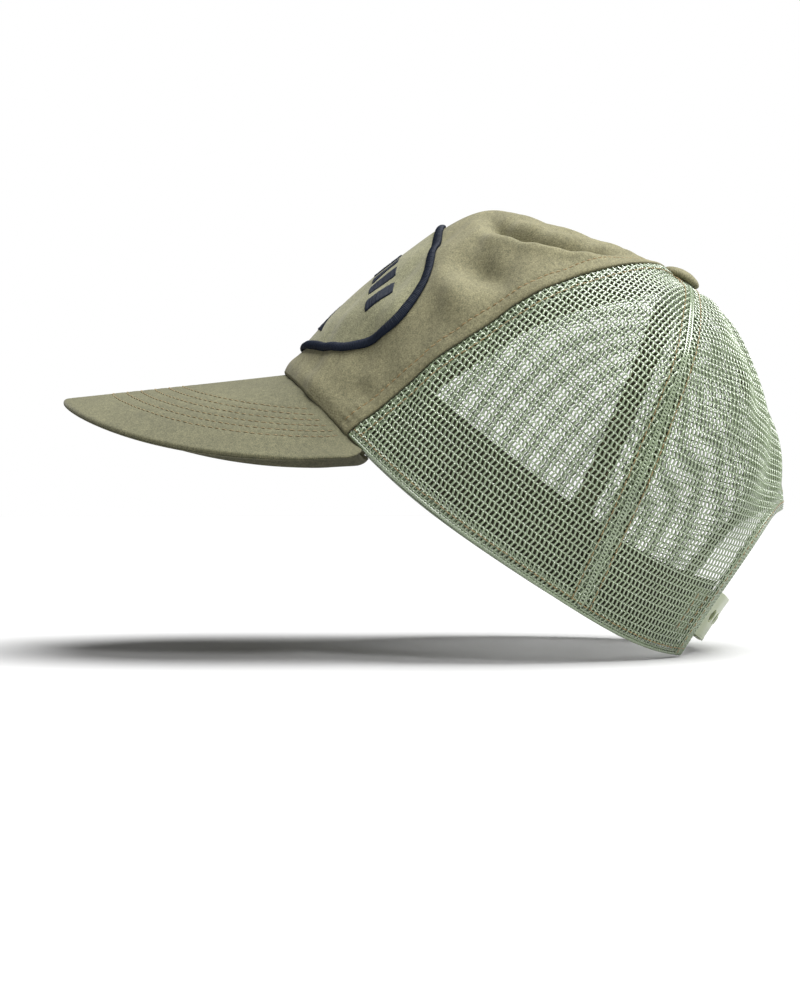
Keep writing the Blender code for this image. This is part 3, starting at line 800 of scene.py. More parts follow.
def hem_fold(way, pitch):
    """Yarns that turn under the bottom edge, from the outer layer to the inner one."""
    s = np.arange(0, way.run, pitch)[:, None]
    turn = np.linspace(0, math.pi, 6)[None, :]
    w = 0.5 - 0.75 * np.sin(turn) + 0 * s
    lift = -0.75 + 0.45 * np.cos(turn) + 0 * s
    return tubes(*way.with_out(s + 0 * turn, w, lift), STRUT[0] * 1.15, STRUT[1] * 1.1)


def net_panels():
    def arch_side(share):
        return np.minimum(arch_limit(share, 0.6), 180 - degrees_for(0.3, 180.0, share))

    panels = (("side", beside(front_seam, 0.3), beside(side_seam, -0.3), 84.0),
              ("back", beside(side_seam, 0.3), arch_side, 147.0))
    for side, label in SIDES:
        for name, near, far, middle in panels:
            laid(f"{name}_net_{label}", net_mesh(near, far, middle, side), net_yarn, "sage_net",
                 replaces=[f"{name}_mesh_{label}"])
        front = seam_way(front_seam, 0.012, 0.957, side)
        seam = seam_way(side_seam, 0.010, 0.948, side)
        hem = hem_way(*(side * angle for angle in HEM_ANGLES))
        laid("seam_allowance_" + label, band_mesh(front, (0.4, 2.1, 3.8, 5.2), LAYER)
             + band_mesh(seam, (-4.6, -3.0, -1.4, 0.2, 1.8, 3.4, 4.8), LAYER), net_yarn, "sage_net")
        laid("side_seam_roll_" + label, band_mesh(seam, (-0.75, 0.75), -0.30, 1.3), net_yarn,
             "sage_net")
        laid("hem_" + label, band_mesh(hem, (0.8, 2.6, 4.4), LAYER) + [hem_fold(hem, 0.915)]
             + band_mesh(hem, (0.35,), -0.15, 1.4), net_yarn, "sage_net")
        rows = ((front, 4.4), (seam, -4.0), (seam, 4.0), (hem, 2.7))
        laid("net_stitches_" + label, [stitches(way, w, STITCH_LIFT) for way, w in rows],
             tan_thread, "sage_net")
    back = seam_way(back_seam, ARCH_TOP + 0.02, 0.955)
    laid("back_seam_band", band_mesh(back, (-3.8, -2.2, -0.7, 0.7, 2.2, 3.8), LAYER)
         + band_mesh(back, (-0.6, 0.6), -0.25, 1.3), net_yarn, "sage_net")
    laid("back_seam_stitches", [stitches(back, w, STITCH_LIFT) for w in (-3.4, 3.4)], tan_thread,
         "sage_net")


BINDING_FROM = 0.145       # the binding tape starts this far up, over the strap's ends
BINDING_INSIDE = -1.5


def arch():
    """The opening's doubled edge: folded net inside and out, bound and stitched."""
    way = arch_way()
    layers = (((0.9, 2.5, 4.2, 5.6), LAYER, NET_PITCH), ((0.4, 1.9, 3.4), 0.0, 1.6),
              ((0.4, 1.6, 2.8, 4.0, 5.2), -0.30, 1.4))
    parts = [part for rows, depth, pitch in layers for part in band_mesh(way, rows, depth, pitch)]
    laid("arch_edge_net", parts + [hem_fold(way, 0.8)], net_yarn, "sage_net")
    upper = arch_way(BINDING_FROM)
    s = np.linspace(0, upper.run, 220)[None, :]
    w = np.linspace(0.6, 5.5, 14)[:, None]
    edge = np.sqrt(np.clip(1 - (np.abs(w - 3.05) / 2.5) ** 4, 0, 1))
    inner = upper.at(s, w, BINDING_INSIDE - 0.5 * edge + 0 * s)
    outer = upper.at(s, w, UNDER_CLOTH + 0.08 * np.sin(s * 2) * edge)
    slab("arch_binding_tape", outer, inner, tape_cloth_painted_shade, slot="seam_tape",
         replaces=["arch_binding"])
    laid("arch_stitches", [stitches(way, 4.6, STITCH_LIFT)], tan_thread, "sage_net")


# --- tapes and sweatband
TAPE_HALF = 5.0
TAPE_ROWS, TAPE_STITCH_LIFT = (-3.6, 3.6), -2.08


def tape_shape(across, up):
    """The inner face of a seam tape: rounded edges and two stitched furrows."""
    off = np.abs(across - 0.5) * 2
    return -1.75 - 0.25 * np.sqrt(np.clip(1 - off ** 6, 0, 1)) + 0.14 * bump(off, 0.72, 0.07)


def tapes():
    plans = (("front_seam_tape", front_seam, 0.03, 0.9), ("side_seam_tape", side_seam, 0.03, 0.83))
    rows = []
    for name, seam, low, high in plans:
        for side, label in SIDES:
            crown_slab(name + "_cloth_" + label, beside(seam, -TAPE_HALF), beside(seam, TAPE_HALF),
                       low, high, (160, 15), UNDER_CLOTH, tape_shape, tape_cloth_painted_shade, side=side,
                       slot="seam_tape", replaces=[name + "_" + label])
            way = seam_way(seam, low + 0.004, high - 0.004, side)
            rows += [stitches(way, w, TAPE_STITCH_LIFT, radius=0.17) for w in TAPE_ROWS]
    crown_slab("back_seam_tape_cloth", beside(back_seam, -TAPE_HALF), beside(back_seam, TAPE_HALF),
               ARCH_TOP + 0.035, 0.9, (120, 15), UNDER_CLOTH, tape_shape, tape_cloth_painted_shade,
               slot="seam_tape", replaces=["back_seam_tape"])
    way = seam_way(back_seam, ARCH_TOP + 0.04, 0.895)
    rows += [stitches(way, w, TAPE_STITCH_LIFT, radius=0.17) for w in TAPE_ROWS]
    laid("tape_stitches", rows, olive_thread, "seam_tape")


BAND_LOW, BAND_HIGH, BAND_END = 0.008, 0.150, 148.3
BAND_ROWS = (0.10, 0.90)
BAND_OUTSIDE, BAND_INSIDE, BAND_STITCH_LIFT = -2.85, -3.4, -3.78


def sweatband():
    share = np.linspace(BAND_LOW, BAND_HIGH, 34)[:, None]
    angle = np.linspace(-BAND_END, BAND_END, 620)[None, :]
    up = (share - BAND_LOW) / (BAND_HIGH - BAND_LOW)
    edge = np.sqrt(np.clip(1 - (np.abs(up - 0.5) * 2) ** 8, 0, 1))
    wrinkle = 0.10 * np.sin(angle * 1.9) * np.sin(up * 9 + angle * 0.31) + 0.07 * np.sin(angle * 4.3)
    seams = sum(0.22 * bump(up, row, 0.025) for row in BAND_ROWS)
    inner = cloth(angle, share, BAND_INSIDE - 0.55 * edge + (wrinkle + seams) * edge)
    outer = cloth(angle, share, BAND_OUTSIDE + 0 * angle * share)
    slab("sweatband_cotton", outer, inner, band_cloth_painted_shade, slot="sweatband_cotton",
         replaces=["sweatband"])
    way = row_way(angle[0], run_of(crown(angle[0], 0.02)))
    heights = [(BAND_LOW + (BAND_HIGH - BAND_LOW) * row) * HEM_STEP for row in BAND_ROWS]
    laid("sweatband_stitches",
         [stitches(way, w, BAND_STITCH_LIFT, radius=0.18, margin=3) for w in heights],
         tan_thread, "sweatband_cotton")


# --- brim
BRIM_HALF, BRIM_LENGTH, BRIM_BACK = 83.0, 95.6, 8.6
BRIM_SQUARE, BRIM_RADIUS, BRIM_TAIL = 0.835, 128.7, 104.0
TAIL_TUCK, TAIL_DROP = 0.06, 15.8
TAIL_IN, TAIL_UP = 1.6, 1.7
ROOT_TUCK = 0.8            # cloth carried on under the crown
ROOT_END, ROOT_SINK, OUTER_SINK = 58.0, 2.4, 0.8
BRIM_WAY = 0.985
FIRST_ROW, ROW_STEP = 19.0, 5.4
STITCH_ROWS = tuple(FIRST_ROW + ROW_STEP * k for k in range(6))
FURROW, RIB = -0.13, 0.06
BRIM_EXACT = 52.0          # rows of cloth keep their distance from the edge this far in,
BRIM_SEWN = 0.93           # or this share of the way to the root, where the brim is shorter
BRIM_HALF_THICK = 1.25
EDGE_ROUND = 1.5           # how far in the rolled edge reaches
COVER = 0.5                # thickness of the covers' cloth
# The covers' rows of points, in mm from the edge: on the rolled edge, and about each furrow.
EDGE_ROWS = [0, 0.06, 0.16, 0.32, 0.55, 0.85, 1.25, 1.8, 2.6, 3.8, 5.2, 6.8, 8.6, 10.8, 13.2, 15.6]
FURROW_ROWS = (-1.3, -0.8, -0.4, 0, 0.4, 0.8, 1.3, 2.8)
BOARD_WAY, BOARD_INSET, BOARD_UNDER = 0.87, 2.2, 0.55
ROOT_EDGE_END, ROOT_EDGE_FADE = 55.0, 5.0


def brim_lines(way):
    root = crown(ROOT_END * way, 0 * way) - (0, 0, ROOT_SINK)
    root = turned(root, -CROWN_TILT - BRIM_DROOP)
    turn = np.radians(BRIM_TAIL) * way
    side = BRIM_HALF * np.sign(way) * np.abs(np.sin(turn)) ** BRIM_SQUARE
    side = side * (1 - TAIL_TUCK * np.abs(way) ** 8)
    cosine = np.cos(turn)
    back = BRIM_BACK - BRIM_LENGTH * np.sign(cosine) * np.abs(cosine) ** BRIM_SQUARE
    drop = BRIM_RADIUS - np.sqrt(BRIM_RADIUS ** 2 - side ** 2) + TAIL_DROP * np.abs(way) ** 6
    return root, np.stack([side, back, -drop - OUTER_SINK], -1)


WAYS = np.linspace(-BRIM_WAY, BRIM_WAY, 1401)
BRIM_ROOT, BRIM_OUTER = brim_lines(WAYS)
BRIM_RUN = BRIM_OUTER - BRIM_ROOT
BRIM_UP = unit(np.cross(np.gradient(BRIM_OUTER + BRIM_ROOT, axis=0), -BRIM_RUN))
# The tails run out at the hem, tucked up and in behind its edge.
BRIM_RUN *= 1 - 0.9 * rise(np.abs(WAYS), 0.91, BRIM_WAY)[:, None]
BRIM_ROOT[:, 0] -= TAIL_IN * np.sign(WAYS) * rise(np.abs(WAYS), 0.88, BRIM_WAY)
BRIM_ROOT[:, 2] += TAIL_UP * rise(np.abs(WAYS), 0.84, BRIM_WAY)
BRIM_REACH = np.linalg.norm(BRIM_RUN, axis=1)


def on_brim(way, inset, lift):
    """Points of the brim in the crown's frame; inset is mm in from the outer line."""
    way, inset, lift = np.broadcast_arrays(way, inset, lift)

    def at(table):
        return np.stack([np.interp(way, WAYS, column) for column in table.T], -1)

    length = np.interp(way, WAYS, BRIM_REACH)
    place = 1 - inset / length
    points = at(BRIM_ROOT) + at(BRIM_RUN) * place[..., None] + at(BRIM_UP) * lift[..., None]
    return turned(points, CROWN_TILT + BRIM_DROOP)


def brim_relief(inset, length):
    """Furrows where the rows of stitches pull the cloth onto the board, and soft ribs between."""
    fade = 1 - rise(inset, 0.88 * length, 0.96 * length)
    relief = sum(FURROW * bump(inset, row, 0.7) for row in STITCH_ROWS)
    first, last = STITCH_ROWS[0], STITCH_ROWS[-1]
    inside = rise(inset, first - 2, first + 1) * (1 - rise(inset, last + 1, last + 4))
    ribs = RIB * inside * np.sin(math.pi * (inset - first) / ROW_STEP) ** 2
    return (relief + ribs) * fade


def brim_height(way, inset):
    """How far the covers stand off the board's middle, in from the rolled edge."""
    thin = 1 - 0.55 * rise(np.abs(way), 0.72, 0.96)
    relief = brim_relief(inset, np.interp(way, WAYS, BRIM_REACH))
    return (BRIM_HALF_THICK + relief) * thin


def brim_cover(name, sign, material):
    rows = EDGE_ROWS + [row + off for row in STITCH_ROWS for off in FURROW_ROWS]
    rows = np.r_[rows, np.linspace(50.5, 100, 26)][:, None]
    turn = np.linspace(-1, 1, 281)[None, :]
    way = np.sign(turn) * np.abs(turn) ** 1.1 * BRIM_WAY
    length = np.interp(way, WAYS, BRIM_REACH)
    exact = np.minimum(BRIM_SEWN * length, BRIM_EXACT)
    beyond = (rows - exact) / (rows[-1] - exact)
    inset = np.where(rows <= exact, rows, exact + beyond * (length + ROOT_TUCK - exact))
    edge = 0.11 + 0.89 * np.sqrt(1 - (1 - np.clip(inset / EDGE_ROUND, 0, 1)) ** 2)
    slub = 0.05 * np.sin(way * 300 + inset) * rise(inset, 2, 4)
    lift = edge * brim_height(way, inset) + slub
    under = np.maximum(lift - COVER, 0.02)
    under = np.where(inset < EDGE_ROUND, np.minimum(under, lift * 0.3), under)
    outer = on_brim(way, inset, sign * lift)
    inner = on_brim(way, inset + 0.35 * (1 - rise(inset, 0, length * 0.9)), sign * under)
    flat = turned(outer, -CROWN_TILT - BRIM_DROOP)[..., :2].reshape(-1, 2)
    laid(name + "_twill", [slab_parts(outer, inner)], material, "brim_twill",
         uv=np.tile(flat, (2, 1)), replaces=[name])

    def surface(way, inset, lift):
        return on_brim(way, inset, sign * (brim_height(way, inset) + lift))

    sewn = []
    for row in STITCH_ROWS:
        span = WAYS[BRIM_REACH * BRIM_SEWN > row]
        span = np.linspace(span[0], span[-1], 500)
        line = row_way(span, run_of(on_brim(span, row, BRIM_HALF_THICK)), surface, 1.0)
        sewn.append(stitches(line, row, STITCH_LIFT))
    laid(name + "_stitches", sewn, olive_thread, "brim_twill")


def brim_core():
    """The stiff board inside the brim, and the cloth edge that sews it to the crown."""
    way = np.linspace(-BOARD_WAY, BOARD_WAY, 160)[None, :]
    length = np.interp(way, WAYS, BRIM_REACH)
    part = np.linspace(0, 1, 24)[:, None]
    inset = BOARD_INSET + (length - 2.5) * part
    half = brim_height(way, inset) - BOARD_UNDER
    laid("brim_board_sheet", [slab_parts(on_brim(way, inset, half), on_brim(way, inset, -half))],
         board_fibre, "brim_board", replaces=["brim_board"])
    angle = np.linspace(-ROOT_EDGE_END, ROOT_EDGE_END, 260)[None, :]
    up = np.linspace(-2.3, 3.5, 12)[:, None]
    near_end = rise(np.abs(angle), ROOT_EDGE_END - ROOT_EDGE_FADE, ROOT_EDGE_END)
    up = np.where(up < 0, up * (1 - 0.45 * near_end), up)
    sink = np.stack([0 * angle * up, 0 * angle * up, np.maximum(-up, 0) + 0 * angle], -1)
    share = np.maximum(up, 0) / HEM_STEP
    outer = cloth(angle, share, -0.98) - sink
    inner = cloth(angle, share, -1.32) - sink
    slab("brim_root_edge", outer, inner, under_twill_painted_shade, slot="brim_twill")


# --- patch
PATCH_OUTLINE = (
    (12, 0.5), (13.5, 20), (19.5, 43), (28, 54), (36, 59),
    (46, 60.5), (60, 54.5), (71, 42), (80, 20), (83, 0.5),
)
BORDER_HALF, CORD_HALF = 1.9, 1.6
BARS, BAR_STEP, BAR_RISE, RAIL_HEIGHT = 9, 10.4, 6.3, 58.0
PEAK_HALF, PEAK_FOOT, PEAK_RISE = 24.0, 21.0, 14.0
PATCH_MIDDLE = 48.0        # a height inside the outline
GROUND_LIFT, GROUND_UNDER = 1.05, 0.1
SATIN_STEP, MARK_LIFT = 0.42, 1.15
SATIN, WRAP = (0.27, 0.22), (0.43, 0.30)       # half widths and half heights of the threads
SATIN_RISE = 0.35
WRAPS, WRAP_LEAN = 430, 1.1
CORD_FOOT, CORD_RISE = 0.5, 1.15
WRAP_FOOT, WRAP_RISE = 0.55, 1.25
FRONT_SHARES = np.linspace(0, 0.8, 400)
FRONT_RUN = run_of(crown(0.0, FRONT_SHARES))
SIDE_SHARES, SIDE_ANGLES = np.linspace(0.02, 0.6, 25), np.linspace(0, 60, 121)
SIDE_RUN = np.stack([run_of(crown(SIDE_ANGLES, share)) for share in SIDE_SHARES])


def on_front(side, height, lift):
    """Points on the front: side and height in mm along the cloth, lifted off it."""
    side, height, lift = np.broadcast_arrays(side, height, lift)
    share = np.interp(height, FRONT_RUN, FRONT_SHARES)
    last = len(SIDE_SHARES) - 1
    row = np.interp(share, SIDE_SHARES, np.arange(last + 1)).clip(0, last - 0.001)
    low = row.astype(int)
    part = (row - low)[..., None]
    run = SIDE_RUN[low] * (1 - part) + SIDE_RUN[low + 1] * part
    reach = np.abs(side)[..., None]
    place = np.clip((run < reach).sum(-1) - 1, 0, SIDE_RUN.shape[1] - 2)[..., None]
    before, after = np.take_along_axis(run, place, -1), np.take_along_axis(run, place + 1, -1)
    angle = (place + (reach - before) / (after - before))[..., 0] * SIDE_ANGLES[1]
    return on_panel(np.sign(side) * angle, share, lift)


def inset_line(path, distance):
    step = unit(np.gradient(path, axis=0))
    moved = path + np.stack([step[:, 1], -step[:, 0]], -1) * distance
    return np.stack([moved[:, 0], np.maximum(moved[:, 1], 0.15)], -1)


def satin(rows, lift):
    """Embroidery: parallel threads, each from (side, height) to (side, height)."""
    rows = np.asarray(rows, float)
    part = np.linspace(0, 1, 7)
    side = rows[:, :1] + (rows[:, 2:3] - rows[:, :1]) * part
    height = rows[:, 1:2] + (rows[:, 3:] - rows[:, 1:2]) * part
    arc = np.sin(np.clip(part, 0.04, 0.96) * math.pi) ** 0.35
    lifted = lift + SATIN_RISE * arc + rng.normal(0, 0.03, (len(rows), 1))
    paths = on_front(side, height, lifted - 0.25)
    outs = unit(on_front(side, height, lifted + 0.25) - paths)
    return tubes(paths, outs, *SATIN)


def patch():
    outline = spline(PATCH_OUTLINE, 160)
    edge = inset_line(outline, BORDER_HALF - 0.5)
    across = np.linspace(-1, 1, 120)[None, :]
    sides, heights = edge[:, 1:] * across, edge[:, :1] + 0 * across
    soft = 0.12 * np.sin(sides * 0.21 + 1) * np.sin(heights * 0.17)
    outer = on_front(sides, heights, GROUND_LIFT + soft)
    inner = on_front(sides, heights, GROUND_UNDER)
    flat = np.stack([sides, heights], -1).reshape(-1, 2)
    laid("patch_ground", [slab_parts(outer, inner)], patch_cloth, "patch_twill",
         uv=np.tile(flat, (2, 1)), replaces=["patch_base"])
    patch_edge(outline)
    patch_marks()


def patch_edge(outline):
    """Rolled edge: a cord of padding with the overlock threads wound across it."""
    line = np.concatenate([outline[:, ::-1], outline[::-1, ::-1] * (-1, 1)])
    line = evenly(np.concatenate([line, line[:1]]), 900)[:-1]
    along = unit(np.roll(line, -1, 0) - np.roll(line, 1, 0))
    outward = np.stack([along[:, 1], -along[:, 0]], -1)
    if np.sum((line - (0, PATCH_MIDDLE)) * outward) < 0:
        outward = -outward
    turn = np.linspace(0, math.pi, 9)[:, None]
    off = np.cos(turn) * (CORD_HALF - 0.15)
    high = CORD_FOOT + CORD_RISE * np.sin(turn)
    ring_side = line[None, :, 0] + outward[None, :, 0] * off
    ring_high = line[None, :, 1] + outward[None, :, 1] * off
    outer = on_front(ring_side, ring_high, high + 0 * ring_side)
    inner = on_front(ring_side, ring_high, GROUND_UNDER + 0 * ring_side)
    parts = [slab_parts(outer, inner, ring=True)]
    place = np.arange(WRAPS) * len(line) / WRAPS
    lean = np.linspace(-WRAP_LEAN, WRAP_LEAN, 9)
    turn = np.linspace(0.0, math.pi, 9)
    index = (place[:, None] + lean[None, :]) % len(line)
    lower = index.astype(int)
    part = (index - lower)[..., None]
    base = line[lower] * (1 - part) + line[(lower + 1) % len(line)] * part
    off = np.cos(turn)[None, :, None] * (CORD_HALF + 0.1)
    path = base + outward[lower] * off
    high = WRAP_FOOT + WRAP_RISE * np.sin(turn)[None, :] + rng.normal(0, 0.04, (WRAPS, 1))
    paths = on_front(path[..., 0], path[..., 1], high)
    outs = unit(paths - on_front(base[..., 0], base[..., 1], 0.3 + 0 * high))
    parts.append(tubes(paths, outs, *WRAP))
    laid("patch_rolled_edge", parts, navy_thread, "patch_navy", replaces=["patch_border"])


def patch_marks():
    """Generic marks: a row of upright bars on a curved rail, and a peak under it."""
    rows = []
    for bar in range(BARS):
        middle = (bar - (BARS - 1) / 2) * BAR_STEP
        for level in np.arange(-BAR_RISE, BAR_RISE + 0.1, SATIN_STEP):
            half = 3.3 if abs(level) < 5.6 else 3.0
            ends = [(x, RAIL_HEIGHT - x * x / 150 + level) for x in (middle - half, middle + half)]
            rows.append((*ends[0], *ends[1]))
    laid("patch_bar_threads", [satin(rows, MARK_LIFT)], navy_thread, "patch_navy",
         replaces=["patch_bars"])
    rows = []
    for level in np.arange(0, PEAK_RISE, SATIN_STEP):
        half = PEAK_HALF - (PEAK_HALF - 0.8) * level / PEAK_RISE
        rows.append((-half, PEAK_FOOT + level, half, PEAK_FOOT + level))
    laid("patch_peak_threads", [satin(rows, MARK_LIFT)], navy_thread, "patch_navy",
         replaces=["patch_peak"])


# --- button
BUTTON_TILT, BUTTON_HEIGHT = 6.0, 116.0
BUTTON_PROFILE = (
    (0.3, 1.5), (2.0, 1.5), (2.1, 0.1), (6.9, 0.0), (7.35, 0.15), (7.65, 0.5), (7.78, 1.0),
    (7.7, 1.5), (7.45, 2.0), (7.0, 2.5), (6.3, 3.0), (5.4, 3.45), (4.4, 3.8), (3.3, 4.1),
    (2.2, 4.3), (1.1, 4.38), (0.3, 4.4),
)
RIVET_PROFILE = (
    (0.3, -4.0), (5.0, -4.0), (8.3, -3.9), (8.8, -3.7), (9.0, -3.5), (8.8, -3.25), (8.3, -3.1),
    (2.0, -3.0), (1.5, -2.8), (1.5, 0.9), (0.3, 1.0),
)


def round_turn(count):
    return np.linspace(0, 2 * math.pi, count, endpoint=False)


def lathe(name, profile, segments, material, relief=None, **more):
    """Solid of revolution on the button's axis; its two ends close on small rings."""
    radius, height = np.asarray(profile, float).T[:, :, None]
    turn = round_turn(segments)[None, :]
    height = height + 0 * turn
    radius = radius + 0 * turn
    if relief:
        radius, height = relief(radius, height, turn)
    points = np.stack([radius * np.cos(turn), radius * np.sin(turn), height], -1)
    points = turned(points, BUTTON_TILT) + (0, APEX_AT, BUTTON_HEIGHT)
    rows = len(profile)
    index = np.arange(rows * segments).reshape(rows, segments)
    after = np.roll(index, -1, 1)
    quads = [np.stack([index[:-1], after[:-1], after[1:], index[1:]], -1).reshape(-1, 4)]
    for k in range(1, segments - 2, 2):
        quads.append([[index[-1, 0], index[-1, k], index[-1, k + 1], index[-1, k + 2]]])
        quads.append([[index[0, 0], index[0, k + 2], index[0, k + 1], index[0, k]]])
    uv = np.stack([radius * np.cos(turn), radius * np.sin(turn)], -1).reshape(-1, 2)
    new_piece(name, to_row(points.reshape(-1, 3)), np.concatenate(quads), material, uv=uv, **more)


def button():
    def gathers(radius, height, turn):
        amount = rise(radius, 6.2, 7.6) * rise(height, -0.2, 0.4)
        fold = 0.13 * np.sin(turn * 19 + 0.6 * np.sin(turn * 3)) * amount
        return radius + fold, height + 0.05 * np.sin(turn * 5 + radius) * rise(radius, 1, 4)

    lathe("covered_button", BUTTON_PROFILE, 96, front_twill, gathers, slot="olive_twill",
          replaces=["button_shell"])
    lathe("rivet", RIVET_PROFILE, 72, rivet_paint, slot="button_metal", replaces=["button_rivet"])


for make in (front_panel, lining, net_panels, arch, tapes, sweatband, patch, button):
    make()
brim_cover("brim_top_cover", 1, brim_twill)
brim_cover("brim_under_cover", -1, under_twill_painted_shade)
brim_core()

# --- snap strap
STRAP_CENTRE, ROOT_RADIUS, STRAP_STEP = 95.0, 95.65, 0.8
STRAP_THICK_HALF, ROOT_THIN, STRAP_BEVEL = 0.5, 0.35, 0.16
STRAP_LOW, STRAP_HIGH = 3.4, 22.0
STRAP_WIDTH_HALF = (STRAP_HIGH - STRAP_LOW) / 2
STRAP_START = 25.2 - 0.25              # degrees from the middle to the hinge, less its gap
SNAP_PITCH, LAST_SNAP = 5.0, 20.0
HOLES, HOLE_TIP, PEGS, PEG_TIP = 6, 8.2, 7, 13.5
HOLE_RADIUS = 2.6
PEG_PROFILE = ((2.35, 0.42), (1.75, 0.75), (1.55, 1.1), (1.6, 1.45), (1.9, 1.7), (1.95, 1.95),
               (1.75, 2.17), (1.3, 2.28), (0.6, 2.3))
PEG_SIDES = 32
DEGREE_RUN = ROOT_RADIUS * math.radians(1)
SLICE = 1.3                # from one cut across the strip to the next
STRAP_EASE = 10.0          # how far from its root a half steps out of the other's way
RIM_SUNK, RIM_WIDTH = 0.12, 1.2


def circle(x, radius, turns):
    return [(x + radius * math.cos(t), radius * math.sin(t)) for t in turns]


def strap_flat(name, long, holes_at):
    """A half drawn flat from its root at x = 0: a bevelled strip with a round end and holes."""
    half = STRAP_WIDTH_HALF
    curve = bpy.data.curves.new(name, "CURVE")
    curve.dimensions = "2D"
    curve.fill_mode = "BOTH"
    curve.extrude = STRAP_THICK_HALF - STRAP_BEVEL
    curve.bevel_depth = STRAP_BEVEL
    curve.bevel_resolution = 2
    curve.offset = -STRAP_BEVEL
    around = np.linspace(2 * math.pi, 0, 36, endpoint=False)
    end = circle(long - half, half, np.linspace(-math.pi / 2, math.pi / 2, 33))
    outlines = [[(0, half), (0, -half)] + end]
    outlines += [circle(x, HOLE_RADIUS, around) for x in holes_at]
    for outline in outlines:
        line = curve.splines.new("POLY")
        line.points.add(len(outline) - 1)
        for point, (x, y) in zip(line.points, outline):
            point.co = (x, y, 0, 1)
        line.use_cyclic_u = True
    flat = in_scene(name, curve)
    graph = bpy.context.evaluated_depsgraph_get()
    mesh = bpy.data.meshes.new_from_object(flat.evaluated_get(graph))
    bpy.data.objects.remove(flat, do_unlink=True)
    return mesh


def slice_and_peg(mesh, long, pegs_at):
    """Cut the strip across often enough to bend, and stand its pegs on it."""
    body = bmesh.new()
    body.from_mesh(mesh)
    bmesh.ops.remove_doubles(body, verts=body.verts, dist=0.001)
    for x in np.arange(1.0, long, SLICE):
        bmesh.ops.bisect_plane(body, geom=body.verts[:] + body.edges[:] + body.faces[:],
                               plane_co=(x, 0, 0), plane_no=(1, 0, 0), dist=1e-4)
    bmesh.ops.recalc_face_normals(body, faces=body.faces)
    for x in pegs_at:
        rings = [[body.verts.new((*place, z)) for place in circle(x, r, round_turn(PEG_SIDES))]
                 for r, z in PEG_PROFILE]
        for low, high in zip(rings, rings[1:]):
            for k in range(PEG_SIDES):
                after = (k + 1) % PEG_SIDES
                body.faces.new((low[k], low[after], high[after], high[k]))
        body.faces.new(rings[-1])
        body.faces.new(rings[0][::-1])
    body.to_mesh(mesh)
    body.free()


def bend_strap(mesh, side, step, long):
    """Bend the strip round the strap's arc, with a raised rim and a thin line at its root."""
    points = np.empty(len(mesh.vertices) * 3, np.float32)
    mesh.vertices.foreach_get("co", points)
    x, y, z = points.reshape(-1, 3).T.astype(float)
    half = STRAP_WIDTH_HALF
    ease = rise(x, 0, STRAP_EASE)
    corner = half - np.hypot(x - (long - half), y)
    rim = np.where(x > long - half, corner, np.minimum(half - np.abs(y), long - x))
    thin = (ROOT_THIN + (STRAP_THICK_HALF - ROOT_THIN) * ease) / STRAP_THICK_HALF
    peg = np.abs(z) > STRAP_THICK_HALF + 0.01
    sunk = RIM_SUNK * np.sign(z) * rise(rim, RIM_WIDTH, RIM_WIDTH + 0.4) * (~peg) * ease
    depth = np.where(peg, z, z * thin) - sunk
    radius = ROOT_RADIUS + step * ease + depth
    turn = np.radians(STRAP_START - x / DEGREE_RUN)
    bent = np.stack([side * radius * np.sin(turn), STRAP_CENTRE + radius * np.cos(turn),
                     (STRAP_LOW + STRAP_HIGH) / 2 + y], -1)
    mesh.vertices.foreach_set("co", to_row(bent).astype(np.float32).ravel())
    body = bmesh.new()
    body.from_mesh(mesh)
    bmesh.ops.recalc_face_normals(body, faces=body.faces)
    for face in body.faces:
        face.smooth = True
    body.to_mesh(mesh)
    body.free()


def strap_half(name, side, step, tip_angle, snaps, holes):
    long = (STRAP_START + tip_angle) * DEGREE_RUN
    centres = [(STRAP_START - (LAST_SNAP - SNAP_PITCH * k)) * DEGREE_RUN for k in range(snaps)]
    mesh = strap_flat(name, long, centres if holes else ())
    slice_and_peg(mesh, long, () if holes else centres)
    bend_strap(mesh, side, step, long)
    mesh.materials.clear()
    mesh.materials.append(strap_plastic)
    made = in_scene(name + "_moulding", mesh)
    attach(made, "strap_left" if side > 0 else "strap_right")
    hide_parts(name)


TAB_SHARES, TAB_ANGLES = (0.040, 0.1315), (140.0, 150.7)
TAB_STITCHES = (140.9, 144.6)
TAB_OUTSIDE, TAB_INSIDE, TAB_STITCH_LIFT = -1.5, -1.8, -2.2


def tabs():
    """The strap's sewn ends, behind the net beside the arch."""
    share = np.linspace(*TAB_SHARES, 24)[:, None]
    angle = np.linspace(*TAB_ANGLES, 24)[None, :]
    over = np.abs(np.linspace(-1, 1, 24))
    edge = np.sqrt(np.clip(1 - np.maximum(over[:, None], over[None, :]) ** 10, 0, 1))
    for side, label in SIDES:
        outer = cloth(side * angle, share, TAB_OUTSIDE + 0.2 * edge)
        inner = cloth(side * angle, share, TAB_INSIDE - 0.38 * edge)
        slab("strap_tab_sewn_" + label, outer, inner, strap_plastic, slot="strap_plastic",
             replaces=["strap_tab_" + label])
        lines = []
        for column in TAB_STITCHES:
            way = seam_way(lambda t: column + 0 * t, 0.047, 0.125, side)
            lines += [stitches(way, 0, lift) for lift in (TAB_STITCH_LIFT, STITCH_LIFT)]
        laid("tab_stitches_" + label, lines, tan_thread, "strap_plastic")


strap_half("hole_strap", 1, STRAP_STEP, HOLE_TIP, HOLES, True)
strap_half("peg_strap", -1, -STRAP_STEP, PEG_TIP, PEGS, False)
tabs()

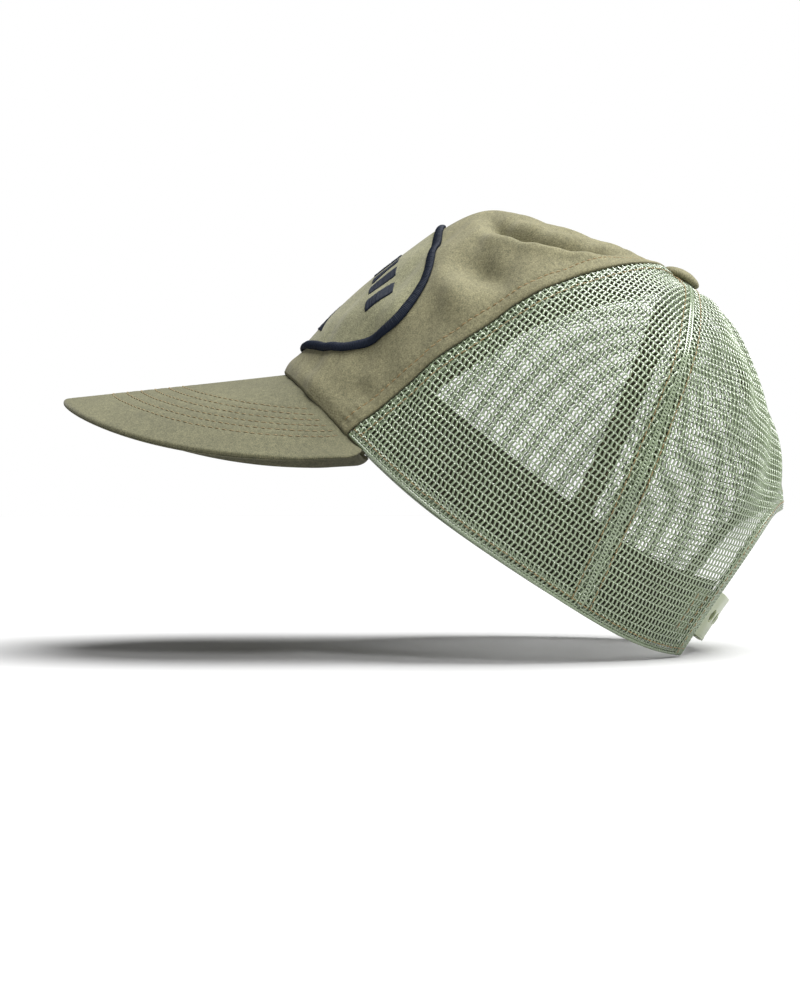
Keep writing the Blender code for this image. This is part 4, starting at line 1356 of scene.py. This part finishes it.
# --- stage
AMBIENT = 0.245            # sky that lights the cap; the camera sees it white
FLOOR_RADIUS, FLOOR_GAP = 6.0, 0.0005
CAMERA_AT = (0.8, -0.0366, 0.0047)
LENS = 73.4


def stage():
    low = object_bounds()[0].z
    mesh = bpy.data.meshes.new("floor")
    ring = [(*place, low - FLOOR_GAP) for place in circle(0, FLOOR_RADIUS, round_turn(96))]
    mesh.from_pydata(ring, [], [list(range(len(ring)))])
    floor = in_scene("floor", mesh)
    n = Nodes("floor_paper")
    n.set(Base_Color=n.ramp(n.noise(n.place(), 3), [(0.3, (0.47, 0.47, 0.47)),
                                                    (0.7, (0.48, 0.48, 0.48))]), Roughness=0.9)
    mesh.materials.append(n.material)
    floor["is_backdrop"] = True
    world = bpy.data.worlds.new("studio")
    bpy.context.scene.world = world
    world.use_nodes = True
    tree = world.node_tree
    seen = tree.nodes.new("ShaderNodeLightPath")
    level = tree.nodes.new("ShaderNodeMapRange")
    level.inputs["To Min"].default_value = AMBIENT
    level.inputs["To Max"].default_value = 1.0
    tree.links.new(seen.outputs["Is Camera Ray"], level.inputs["Value"])
    tree.nodes["Background"].inputs["Color"].default_value = (1, 1, 1, 1)
    tree.links.new(level.outputs[0], tree.nodes["Background"].inputs["Strength"])


def add_light(name, kind, energy, place, target):
    light = bpy.data.lights.new(name, kind)
    light.energy = energy
    made = in_scene(name, light)
    made.location = place
    made.rotation_euler = (Vector(target) - Vector(place)).to_track_quat("-Z", "Y").to_euler()
    return light


def camera():
    """Level, 0.8 m out on the wearer's left, with the cap high in the frame."""
    data = bpy.data.cameras.new("camera")
    data.sensor_width = 36
    data.lens = LENS
    made = in_scene("camera", data)
    made.location = CAMERA_AT
    made.rotation_euler = (math.radians(90), 0, math.radians(90))
    bpy.context.scene.camera = made


stage()
# A broad soft light above, a little behind the cap.
add_light("overhead", "SUN", 7.4, (-0.08, 0.40, 1.0), (0, 0, 0)).angle = math.radians(55)
# A small one over the camera's side, for the shine on the net's yarns.
add_light("gleam", "AREA", 4.5, (0.75, 0.25, 0.85), (0, 0, 0.05)).size = 0.24
camera()
